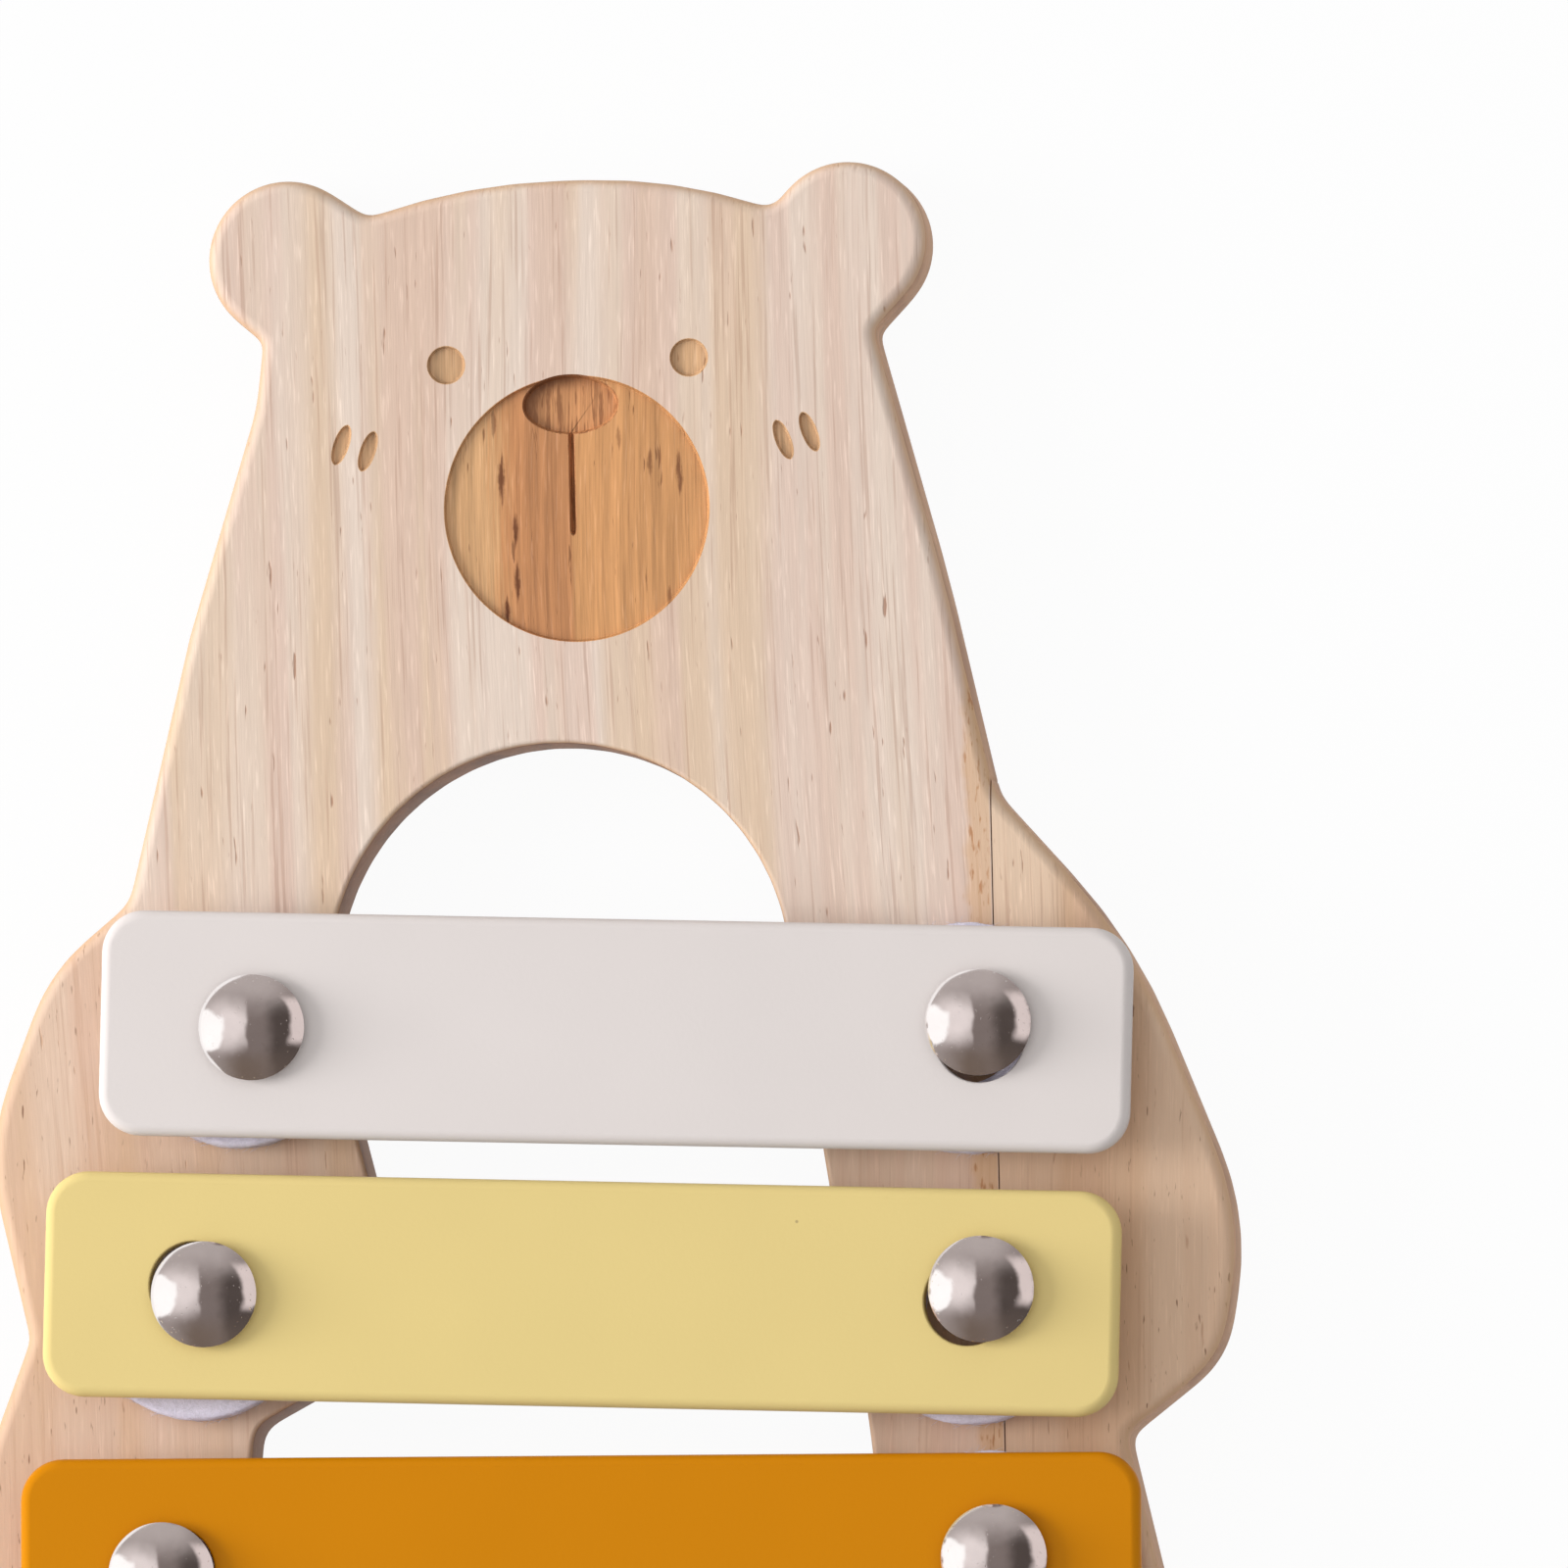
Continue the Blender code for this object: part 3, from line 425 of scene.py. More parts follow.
def paint_group():
    """Satin powder coat with a pebbled skin, cloudy tone and a few specks."""
    graph, source, finish = new_group(
        "powder_coat",
        {"Position": "Vector", "Paint": "Color"},
        {"Colour": "Color", "Height": "Float", "Roughness": "Float"},
    )
    position = source["Position"]
    drift = graph.cloud(position, (16, 16, 16), 2.0)
    toned = graph.scaled(source["Paint"], graph.line(drift, 0.05, 0.975))
    cells = graph.add("TexVoronoi", {"Vector": position, "Scale": 0.11, "Randomness": 1.0}).outputs
    near = graph.step(cells["Distance"], 0.012, 0.026, 1.0, 0.0)
    chosen = graph.add("SeparateColor", {"Color": cells["Color"]}).outputs[0]
    speck = graph.times(near, graph.step(chosen, 0.45, 0.5, 0.0, 0.45))
    toned = graph.mixed(speck, toned, (0.16, 0.1, 0.09))
    pebble = graph.cloud(position, (0.55, 0.55, 0.55), 2.0)
    return finish(colour=toned, height=pebble, roughness=graph.line(drift, 0.12, 0.36))


def new_material(name):
    """A material, its graph and its place in millimetres."""
    material = bpy.data.materials.new(name)
    material.use_nodes = True
    graph = Graph(material.node_tree)
    return material, graph, graph.scaled(graph.place(), 1 / MM)


def grain_material(name, colours, pores, fibres, depth, finish=None, bands=None):
    """Wood in pale, warm, rosy and pore colours, or with bands for the first three."""
    material, graph, position = new_material(name)
    tones = [*(bands(graph, position) if bands else colours[:3]), colours[3]]
    inputs = {"Position": position, "Pores": pores, "Fibres": fibres}
    inputs.update(zip(("Pale", "Warm", "Rosy", "Pore"), tones))
    grain = graph.group("wood_grain", wood_grain_group, inputs)
    graph.shade({
        "Base Color": finish(graph, position, grain["Colour"]) if finish else grain["Colour"],
        "Roughness": grain["Roughness"],
        "Normal": graph.bump(grain["Height"], depth),
        "Specular IOR Level": 0.3,
    })
    return material


def carved_material(name, settings, tone, finish=None, bands=None):
    """Bare wood inside a carved place."""
    colours = (tone, tone, [part * 0.84 for part in tone], settings.groove)
    return grain_material(name, colours, 0.8, 1.5, 0.07 * MM, finish, bands)


def sawn_material(name, pale, dark):
    """Bare sawn wood with a dark grain."""
    return grain_material(name, (pale, pale, dark, dark), 0.6, 0.7, 0.06 * MM)


def bare_rim_and_low_shade(settings, graph, position, toned):
    """Bare wood at the round edges, warmer wood at the left side, painted warm shade at the feet and among
    the bars, and pores on the arms.
    """
    parts = graph.split(position)
    aside = graph.line(graph.cloud(position, (14, 40, 20), 2.0), 30.0, parts["X"])
    left = graph.step(aside, -48, -22, 0.62, 0.0)
    # Painted shade: low down, at the feet and among the bars, the wood is tinted darker and warmer.
    below = graph.step(parts["Y"], 20, 34, 0.5, 0.0)
    toned = graph.mixed(graph.most(left, below), toned, settings.tan_and_low_shade)
    dash = graph.step(graph.cloud(position, (0.42, 3.0, 1), 2.0, 0.5, (5, 9, 1)), 0.66, 0.74, 0.0, 1.2)
    arms = graph.most(left, graph.step(parts["X"], 56, 64, 0.0, 0.62))
    toned = graph.mixed(graph.times(dash, arms), toned, settings.streak)
    upward = graph.split(graph.place("Normal"))["Z"]
    return graph.mixed(graph.step(upward, 0.45, 0.99, 0.8, 0.0), toned, settings.rim)


def glue_strip(settings, line, graph, position, toned):
    """A bare rim with painted shade low down, and a spotted tan strip just left of the glue line."""
    toned = bare_rim_and_low_shade(settings, graph, position, toned)
    aside = graph.split(position)["X"]
    wobbling = graph.line(graph.cloud(position, (6, 3, 6), 2.0), 1.6, aside)
    inside = graph.step(wobbling, line - 2.4, line - 1.2)
    inside = graph.times(inside, graph.step(aside, line - 0.1, line + 0.1, 1.0, 0.0))
    toned = graph.mixed(graph.times(inside, 0.55), toned, settings.strip)
    spots = graph.step(graph.cloud(position, (0.55, 2.4, 1), 2.5, 0.55, (2, 2, 2)), 0.54, 0.68)
    return graph.mixed(graph.times(graph.times(inside, spots), 0.75), toned, settings.spot)


def muzzle_bands(settings, middle, graph, position):
    """Muzzle wood: light at the left, rosy beside the mouth and tan at the right."""
    wobble = graph.cloud(position, (0.5, 11, 2), 3.0, 0.6)
    aside = graph.minus(graph.split(position)["X"], middle.x / MM)
    spread = graph.plus(aside, graph.line(wobble, 6.0, -3.0))
    edge = graph.plus(aside, graph.line(wobble, 0.8, -0.4))
    light = graph.step(spread, -10.5, -6.5, 1.0, 0.0)
    rosy = graph.times(graph.step(spread, -10.5, -6.5), graph.step(edge, -0.9, -0.3, 1.0, 0.0))
    tone = graph.mixed(light, settings.muzzle, settings.muzzle_light)
    tone = graph.mixed(rosy, tone, settings.muzzle_rosy)
    return tone, tone, graph.scaled(tone, 0.86)


def resin_streaks(settings, middle, graph, position, toned):
    """The dark resin streaks about the muzzle's middle."""
    for x, y, half_width, half_length, amount in STREAKS:
        inputs = {
            "Position": position,
            "Place": (middle.x / MM + x, middle.y / MM + y, 0),
            "Half width": half_width,
            "Half length": half_length,
        }
        mask = graph.group("resin_streak", streak_group, inputs)["Mask"]
        toned = graph.mixed(graph.times(mask, amount), toned, settings.streak)
    return toned


def nose_rim_shade_and_streaks(settings, low, high, graph, position, toned):
    """Painted shade towards the nose's far left rim, and brown stripes in its wood."""
    middle = (low + high).xy / (2 * MM)
    spread, out = graph.about(position, middle, (high - low).xy / (2 * MM))
    parts = graph.split(spread)
    turned = graph.line(parts["X"], -0.75, graph.times(parts["Y"], 0.65))
    ragged = graph.cloud(position, (0.35, 2.2, 1), 3.0, 0.6, (3, 3, 3))
    edge = graph.plus(out, graph.line(ragged, 0.3, -0.15))
    # Painted shade along the nose's far left rim, where its wall casts a shadow.
    rim_shade = graph.times(graph.step(edge, 0.5, 1.0), graph.step(turned, -0.1, 0.8, 0.15, 0.8))
    stripes = graph.step(graph.cloud(position, (0.5, 6, 1), 3.0, 0.6, (8, 2, 2)), 0.47, 0.6, 0.0, 0.6)
    return graph.mixed(graph.most(rim_shade, stripes), toned, settings.streak)


def paint_material(name, paint):
    """The finish of one bar."""
    material, graph, position = new_material(name)
    coat = graph.group("powder_coat", paint_group, {"Position": position, "Paint": paint})
    graph.shade({
        "Base Color": coat["Colour"],
        "Roughness": coat["Roughness"],
        "Normal": graph.bump(coat["Height"], 0.012 * MM),
        "Specular IOR Level": 0.08,
    })
    return material


def metal_material(settings):
    """Polished nickel with faint haze and tiny pits."""
    material, graph, position = new_material("stud_nickel")
    haze = graph.cloud(position, (2.4, 2.4, 2.4), 3.0)
    pits = graph.step(graph.cloud(position, (0.35, 0.35, 0.35), 1.0), 0.7, 0.8, 1.0, 0.0)
    graph.shade({
        "Base Color": graph.scaled(settings.metal, graph.line(haze, 0.14, 0.92)),
        "Roughness": graph.line(haze, 0.12, 0.02),
        "Normal": graph.bump(pits, 0.01 * MM),
        "Metallic": 1.0,
    })
    return material


def felt_material(settings):
    """Pale lavender wool felt with tangled fibres."""
    material, graph, position = new_material("felt_wool")
    tangle = graph.cloud(position, (0.5, 0.5, 0.5), 4.0, 0.7)
    bent = graph.bent(position, 0.8, (2, 2, 2))
    strands = graph.cloud(bent, (1.6, 0.12, 0.3), 2.0)
    crossed = graph.cloud(bent, (0.12, 1.6, 0.3), 2.0, 0.5, (9, 9, 9))
    fibre = graph.most(strands, crossed)
    tone = graph.line(graph.plus(fibre, tangle), 0.42, 0.55)
    graph.shade({
        "Base Color": graph.scaled(settings.wool, tone),
        "Roughness": graph.step(tangle, 0.3, 0.7, 0.88, 1.0),
        "Normal": graph.bump(fibre, 0.15 * MM),
        "Specular IOR Level": 0.1,
        "Sheen Weight": 0.3,
        "Sheen Roughness": 0.5,
    })
    return material


def add_piece(name, edit, *materials):
    """Put a finished bmesh into the scene as one piece."""
    mesh = bpy.data.meshes.new(name)
    edit.to_mesh(mesh)
    edit.free()
    mesh.shade_smooth()
    piece = bpy.data.objects.new(name, mesh)
    bpy.context.scene.collection.objects.link(piece)
    for material in materials:
        mesh.materials.append(material)
    return piece


def hand_over(piece, node, slot):
    """Let a piece stand for its CAD node and ride on that node's body."""
    bodies = frame["record"]["behaviour"]["bodies"]
    body = next(name for name, members in bodies.items() if node in members)
    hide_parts(node)
    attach(piece, body)


def node_box(node):
    """A node's low corner, high corner, middle and radius in plan."""
    low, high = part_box(node)
    return low, high, (low + high) / 2, (high.x - low.x) / 2


def pairs(kind):
    """The names of the nodes of one kind, a left and a right one in each row."""
    return [f"{kind}_{row}_{side}" for row in ROWS for side in SIDES]


def cut_level(edit, height, **sides):
    """Cut a mesh at one height and clear away the given sides."""
    geometry = edit.verts[:] + edit.edges[:] + edit.faces[:]
    bmesh.ops.bisect_plane(
        edit, geom=geometry, dist=PLANE_REACH, plane_co=(0, 0, height), plane_no=(0, 0, 1), **sides,
    )


def section(height, *names):
    """The outline of CAD nodes at one height, as level wire loops."""
    edit = bmesh.new()
    for name in names:
        edit.from_mesh(nodes[name].data)
    bmesh.ops.remove_doubles(edit, verts=edit.verts, dist=MERGE)
    cut_level(edit, height, clear_inner=True, clear_outer=True)
    bmesh.ops.remove_doubles(edit, verts=edit.verts, dist=MERGE)
    facet = math.radians(FACET_DEGREES)
    bmesh.ops.dissolve_limit(edit, angle_limit=facet, verts=edit.verts, edges=edit.edges)
    return edit


def linked_loops(edit):
    """The vertices of each loop of a wire mesh."""
    loops = []
    for start in edit.verts:
        if not any(start in loop for loop in loops):
            loop = {start}
            waiting = [start]
            while waiting:
                near = {vert for edge in waiting.pop().link_edges for vert in edge.verts} - loop
                loop |= near
                waiting.extend(near)
            loops.append(loop)
    return loops


def span(verts):
    """The lowest corner, the highest corner and the middle of some vertices."""
    low, high = [Vector([end(v.co[axis] for v in verts) for axis in range(3)]) for end in (min, max)]
    return low, high, (low + high) / 2


def keep_loops(edit, wanted):
    """Delete each loop whose low and high corners aren't wanted."""
    unwanted = [v for loop in linked_loops(edit) if not wanted(*span(loop)[:2]) for v in loop]
    bmesh.ops.delete(edit, geom=unwanted, context="VERTS")


def refine(edit, spacing, passes=2):
    """Divide wire loops evenly and ease their facets, but keep sharp corners."""
    for edge in edit.edges[:]:
        cuts = math.floor(edge.calc_length() / spacing)
        if cuts:
            bmesh.ops.subdivide_edges(edit, edges=[edge], cuts=cuts)
    eased = []
    for vert in edit.verts:
        first, second = [edge.other_vert(vert).co - vert.co for edge in vert.link_edges]
        if math.pi - first.angle(second) < math.radians(CORNER_DEGREES):
            eased.append(vert)
    for _ in range(passes):
        bmesh.ops.smooth_vert(edit, verts=eased, factor=0.5, use_axis_x=True, use_axis_y=True)


def lift(edit, faces, height):
    """Move faces straight up."""
    verts = {vert for face in faces for vert in face.verts}
    bmesh.ops.translate(edit, verts=list(verts), vec=(0, 0, height))


def inset(edit, faces, amount):
    """Shrink level faces evenly from their border."""
    bmesh.ops.inset_region(edit, faces=faces, thickness=amount, use_boundary=True, use_even_offset=True)


def raise_faces(edit, faces, rise):
    """Extrude level faces up or down and return the moved ones."""
    parts = {item for face in faces for item in (face, *face.edges, *face.verts)}
    made = bmesh.ops.extrude_face_region(edit, geom=list(parts))["geom"]
    moved = [item for item in made if isinstance(item, bmesh.types.BMFace)]
    lift(edit, moved, rise)
    return moved


def prism(edit, low, high):
    """Turn level wire loops into a prism and return its base and top faces."""
    old_low = next(iter(edit.verts)).co.z
    base = bmesh.ops.edgeloop_fill(edit, edges=edit.edges)["faces"]
    lift(edit, base, low - old_low)
    return base, raise_faces(edit, base, high - low)


def round_rim(edit, faces, radius, steps, up, side=1):
    """Round the rim of end faces that look up (1) or down (-1), inwards (1) or outwards (-1)."""
    aside = 0.0
    rise = 0.0
    for step in range(1, steps + 1):
        angle = math.pi / 2 * step / steps
        next_aside = side * radius * (1 - math.cos(angle))
        next_rise = up * radius * math.sin(angle)
        inset(edit, faces, next_aside - aside)
        lift(edit, faces, next_rise - rise)
        aside = next_aside
        rise = next_rise


def closed(edit):
    """Turn every face of a closed mesh outwards."""
    bmesh.ops.recalc_face_normals(edit, faces=edit.faces)
    return edit


def slab(edit, low, high, radius):
    """Turn level wire loops into a slab with round edges."""
    base, top = prism(edit, low + radius, high - radius)
    round_rim(edit, top, radius, EDGE_STEPS, 1)
    round_rim(edit, base, radius, EDGE_STEPS, -1)
    return closed(edit)


def circle(middle, radius, segments):
    """A level wire circle."""
    edit = bmesh.new()
    bmesh.ops.create_circle(edit, radius=radius, segments=segments, matrix=Matrix.Translation(middle))
    return edit


def rounded_rectangle(width, height, corner, steps):
    """A level wire rectangle about the origin with round corners."""
    edit = bmesh.new()
    bmesh.ops.create_grid(edit, x_segments=1, y_segments=1, size=0.5)
    bmesh.ops.scale(edit, vec=(width, height, 1), verts=edit.verts)
    bmesh.ops.bevel(edit, geom=edit.verts[:], affect="VERTICES", offset=corner, segments=steps, profile=0.5)
    bmesh.ops.delete(edit, geom=edit.faces[:], context="FACES_ONLY")
    return edit


def turn(edit, segments):
    """Spin a wire in the XZ plane about the Z axis into a closed shape."""
    bmesh.ops.spin(
        edit, geom=edit.verts[:] + edit.edges[:], cent=(0, 0, 0), axis=(0, 0, 1), angle=math.tau,
        steps=segments, use_merge=True,
    )
    bmesh.ops.remove_doubles(edit, verts=edit.verts, dist=MERGE)
    return closed(edit)


def carve(piece, edit, *materials):
    """Cut a closed mesh out of a piece, with its materials on the cut."""
    cutter = add_piece("cutter", edit, *materials)
    boolean = piece.modifiers.new("cut", "BOOLEAN")
    boolean.operation = "DIFFERENCE"
    boolean.solver = "EXACT"
    boolean.material_mode = "TRANSFER"
    boolean.object = cutter
    bpy.context.view_layer.update()
    evaluated = piece.evaluated_get(bpy.context.evaluated_depsgraph_get())
    uncut = piece.data
    piece.data = bpy.data.meshes.new_from_object(evaluated)
    piece.modifiers.clear()
    bpy.data.meshes.remove(uncut)
    bpy.data.objects.remove(cutter)


def carve_walled(piece, edit, surface, wall):
    """Carve a closed mesh whose steep faces leave another material than the rest."""
    for face in closed(edit).faces:
        face.material_index = int(abs(face.normal.z) < WALL_SLOPE)
    carve(piece, edit, surface, wall)


def cut_through(piece, loops, low, high, radius, wall):
    """Cut loops right through a piece between two heights, with round rims."""
    base, top = prism(loops, low + radius, high - radius)
    for faces, up in ((top, 1), (base, -1)):
        round_rim(loops, faces, radius, RIM_STEPS, up, -1)
        raise_faces(loops, faces, up * OVERRUN)
    carve_walled(piece, loops, piece.data.materials[0], wall)


def cut_pocket(piece, loops, ease, floor_height, rim_height, taper, floor, wall):
    """Carve a pocket with an eased floor, leaning walls and a flared rim."""
    base, top = prism(loops, rim_height - 2 * ease, rim_height - ease)
    inset(loops, base, taper)
    lift(loops, base, floor_height + 3 * ease - rim_height)
    round_rim(loops, base, ease, CARVE_STEPS, -1)
    round_rim(loops, top, ease, CARVE_STEPS, 1, -1)
    raise_faces(loops, top, panel_high.z + OVERRUN - rim_height)
    carve_walled(piece, loops, floor, wall)


def cut_between(piece, low_x, high_x, material):
    """Cut away all that a board piece has between two places along X."""
    over = Vector((OVERRUN, OVERRUN, OVERRUN))
    low = panel_low - over
    high = panel_high + over
    low.x = low_x
    high.x = high_x
    edit = bmesh.new()
    bmesh.ops.create_cube(edit, size=1, matrix=Matrix.LocRotScale((low + high) / 2, None, high - low))
    carve(piece, edit, material)


def level_normals(piece, sharp_degrees=SHARP_DEGREES):
    """Shade a piece smooth between its sharp edges, with its level faces flat."""
    mesh = piece.data
    sharp = math.radians(sharp_degrees)
    mesh.shade_smooth()
    mesh.set_sharp_from_angle(angle=sharp)
    sides = [(face, math.copysign(1, face.normal.z)) for face in mesh.polygons]
    flat = [(face, side) for face, side in sides if abs(face.normal.z) > LEVEL_SHARE]
    level = {(vert, side) for face, side in flat for vert in face.vertices}
    normals = [corner.vector.copy() for corner in mesh.corner_normals]
    for face, side in sides:
        if abs(face.normal.z) > math.cos(sharp):
            for corner, vert in zip(face.loop_indices, face.vertices):
                if (vert, side) in level:
                    normals[corner] = Vector((0, 0, side))
    mesh.normals_split_custom_set(normals)


def board_outline():
    """The bear's outline, joined across the glue line, and its window's outline."""
    window = section(SECTION_HEIGHT, "bear_panel")
    keep_loops(window, lambda low, high: high.x < panel_high.x - MERGE)
    inner = span(window.verts)[1]
    edit = section(SECTION_HEIGHT, "bear_panel", "bear_right_stave")
    keep_loops(edit, lambda low, high: high.x > inner.x + MERGE)
    seams = (panel_high.x, stave_low.x)

    def on(vert, x):
        return abs(vert.co.x - x) < MERGE

    seam = [edge for edge in edit.edges if any(all(on(v, x) for v in edge.verts) for x in seams)]
    bmesh.ops.delete(edit, geom=seam, context="EDGES")
    bmesh.ops.delete(edit, geom=[v for v in edit.verts if not v.link_edges], context="VERTS")
    ends = [vert for vert in edit.verts if len(vert.link_edges) == 1]
    panel_ends, stave_ends = [[vert for vert in ends if on(vert, x)] for x in seams]
    for vert in panel_ends:
        edit.edges.new((vert, min(stave_ends, key=lambda other: (other.co - vert.co).length)))
    for loops in (edit, window):
        refine(loops, OUTLINE_SPACING)
    return edit, window


def stud_holes(settings):
    """The ten blind holes below the studs, as one mesh."""
    edit = bmesh.new()
    depth = panel_high.z + OVERRUN - settings.hole_floor
    for node in pairs("stud"):
        middle = node_box(node)[2]
        middle.z = settings.hole_floor + depth / 2
        bmesh.ops.create_cone(
            edit, cap_ends=True, segments=HOLE_SEGMENTS, radius1=settings.hole_radius,
            radius2=settings.hole_radius, depth=depth, matrix=Matrix.Translation(middle),
        )
    return closed(edit)


def face_loops(height, wanted):
    """Those outlines on the bear's face whose width is wanted, at one height."""
    edit = section(height, "bear_panel")
    face_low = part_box("bar_1")[1].y
    keep_loops(edit, lambda low, high: low.y > face_low and wanted(high.x - low.x))
    return edit


def carve_face(settings, panel, groove):
    """Carve the muzzle, the eyes and cheek marks, and the nose and the mouth."""
    top = panel_high.z
    ease = settings.carve_round
    shallow = top - settings.mark_depth / 2
    low, high, middle = span(face_loops(shallow, lambda width: width > settings.mark_limit).verts)
    radius = (high.x - low.x) / 2
    centre = Vector((middle.x, low.y + radius, 0))
    floor = top - settings.muzzle_depth
    streaks = partial(resin_streaks, settings, centre)
    bands = partial(muzzle_bands, settings, centre)
    muzzle = carved_material("muzzle_wood", settings, settings.muzzle, streaks, bands)
    loops = circle(centre, radius, MUZZLE_SEGMENTS)
    cut_pocket(panel, loops, ease, floor, top, settings.muzzle_taper, muzzle, groove)

    loops = face_loops(shallow, lambda width: width < settings.mark_limit)
    refine(loops, CARVE_SPACING)
    mark = carved_material("mark_wood", settings, settings.mark)
    cut_pocket(panel, loops, ease, top - settings.mark_depth, top, settings.muzzle_taper, mark, groove)

    loops = face_loops(top - (settings.muzzle_depth + settings.nose_depth) / 2, lambda width: True)
    refine(loops, CARVE_SPACING)
    low, high, middle = span([vert for vert in loops.verts if vert.co.y > centre.y + radius / 2])
    # The nose's wood gets painted shade at its far left rim.
    nose_shade = partial(nose_rim_shade_and_streaks, settings, low, high)
    nose = carved_material("nose_wood", settings, settings.nose, nose_shade)
    wall = carved_material("nose_wall", settings, settings.nose_wall)
    cut_pocket(panel, loops, ease, top - settings.nose_depth, floor, settings.nose_taper, nose, wall)


class XYLOPHONE_OT_board(bpy.types.Operator):
    """Model the bear-shaped board: the panel with its carved face and the glued stave"""

    bl_idname = "xylophone.board"
    bl_label = "Board"

    def execute(self, context):
        settings = context.scene.xylophone_board
        grain = (settings.pale, settings.warm, settings.rosy, settings.pore)
        strip = partial(glue_strip, settings, panel_high.x / MM)
        face = grain_material("whitewashed_wood", grain, 0.8, 0.42, 0.05 * MM, strip)
        grain = (settings.stave_pale, settings.stave_warm, settings.stave_rosy, settings.pore)
        stave_face = grain_material("stave_wood", grain, 0.8, 0.45, 0.05 * MM, partial(bare_rim_and_low_shade, settings))
        sawn = sawn_material("sawn_wood", settings.edge_pale, settings.edge_dark)
        # Painted shade: the window's walls get a darker sawn wood than the other sides.
        shaded_window_wall = sawn_material("window_wall_wood", settings.window_pale, settings.window_dark)
        groove = carved_material("carved_wall", settings, settings.groove)

        outline, window = board_outline()
        panel = add_piece("face_panel", slab(outline, 0, panel_high.z, settings.edge_round), face)
        cut_through(panel, window, 0, panel_high.z, settings.window_round, shaded_window_wall)
        carve(panel, stud_holes(settings), groove)

        stave = panel.copy()
        stave.data = panel.data.copy()
        stave.name = "right_stave"
        stave.data.materials[0] = stave_face
        context.scene.collection.objects.link(stave)
        seam = (panel_high.x + stave_low.x) / 2
        cut_between(stave, panel_low.x - OVERRUN, seam + settings.seam_gap / 2, sawn)
        cut_between(panel, seam - settings.seam_gap / 2, stave_high.x + OVERRUN, sawn)
        carve_face(settings, panel, groove)
        for piece, node in ((panel, "bear_panel"), (stave, "bear_right_stave")):
            piece.data.materials.append(sawn)
            for side in piece.data.polygons:
                if side.material_index == 0 and abs(side.normal.z) < WALL_SLOPE:
                    side.material_index = len(piece.data.materials) - 1
            level_normals(piece)
            hand_over(piece, node, node)
        return {"FINISHED"}


def bar_layout(node):
    """A bar's middle, direction, length and width, and its holes' middles and radius."""
    edit = section(node_box(node)[2].z, node)
    loops = sorted(linked_loops(edit), key=lambda loop: span(loop)[1].x - span(loop)[0].x)
    holes = [span(loop)[2] for loop in loops[:2]]
    hole_low, hole_high, _ = span(loops[0])
    along = (holes[1] - holes[0]).normalized()
    along = along if along.x > 0 else -along
    across = Vector((-along.y, along.x, 0))
    forward = [vert.co.dot(along) for vert in loops[2]]
    aside = [vert.co.dot(across) for vert in loops[2]]
    middle = along * (min(forward) + max(forward)) / 2 + across * (min(aside) + max(aside)) / 2
    size = (max(forward) - min(forward), max(aside) - min(aside))
    edit.free()
    return middle, along, size, holes, (hole_high.x - hole_low.x) / 2


def bar_piece(settings, node, material):
    """A bar with round corners, round edges and its two holes."""
    low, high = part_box(node)
    middle, along, size, holes, hole_radius = bar_layout(node)
    edit = slab(rounded_rectangle(*size, settings.corner, CORNER_STEPS), low.z, high.z, settings.edge_round)
    bmesh.ops.rotate(edit, verts=edit.verts, matrix=Matrix.Rotation(math.atan2(along.y, along.x), 3, "Z"))
    bmesh.ops.translate(edit, verts=edit.verts, vec=(*middle.xy, 0))
    bar = add_piece(node + "_painted", edit, material)
    for hole in holes:
        loops = circle(hole, hole_radius, ROUND_SEGMENTS)
        cut_through(bar, loops, low.z, high.z, settings.hole_round, material)
    level_normals(bar)
    return bar


class XYLOPHONE_OT_bars(bpy.types.Operator):
    """Model the five painted bars"""

    bl_idname = "xylophone.bars"
    bl_label = "Bars"

    def execute(self, context):
        settings = context.scene.xylophone_bars
        for row in ROWS:
            node = f"bar_{row}"
            material = paint_material(f"paint_{row}", getattr(settings, node))
            hand_over(bar_piece(settings, node, material), node, node)
        return {"FINISHED"}


def stud_piece(settings, node, material):
    """A domed stud on its shank, with faint dents in the dome."""
    low, high, middle, radius = node_box(node)
    edge_angle = 2 * math.atan((settings.dome_height - settings.dome_rim) / radius)
    ball = radius / math.sin(edge_angle)
    edit = bmesh.new()
    tip = edit.verts.new((0, 0, high.z))
    arc = bmesh.ops.spin(
        edit, geom=[tip], cent=(0, 0, high.z - ball), axis=(0, 1, 0), angle=edge_angle, steps=DOME_STEPS,
    )
    rim = arc["geom_last"][0]
    under = high.z - settings.dome_height
    for across, height in (
        (radius, under + settings.dome_ease),
        (radius - settings.dome_ease, under),
        (settings.shank, under),
        (settings.shank, low.z + settings.shank),
        (0, low.z),
    ):
        rim = bmesh.ops.extrude_vert_indiv(edit, verts=[rim])["verts"][0]
        rim.co = (across, 0, height)
    turn(edit, ROUND_SEGMENTS)
    bmesh.ops.translate(edit, verts=edit.verts, vec=(*middle.xy, 0))
    for vert in edit.verts:
        if vert.co.z > under + settings.dome_rim / 2:
            vert.co += vert.normal * settings.dent * noise.noise(vert.co / DENT_SIZE)
    stud = add_piece(node + "_dome", edit, material)
    level_normals(stud, STUD_SHARP_DEGREES)
    return stud


class XYLOPHONE_OT_studs(bpy.types.Operator):
    """Model the ten domed studs that hold the bars"""

    bl_idname = "xylophone.studs"
    bl_label = "Studs"

    def execute(self, context):
        settings = context.scene.xylophone_studs
        material = metal_material(settings)
        for node in pairs("stud"):
            hand_over(stud_piece(settings, node, material), node, "stud")
        return {"FINISHED"}


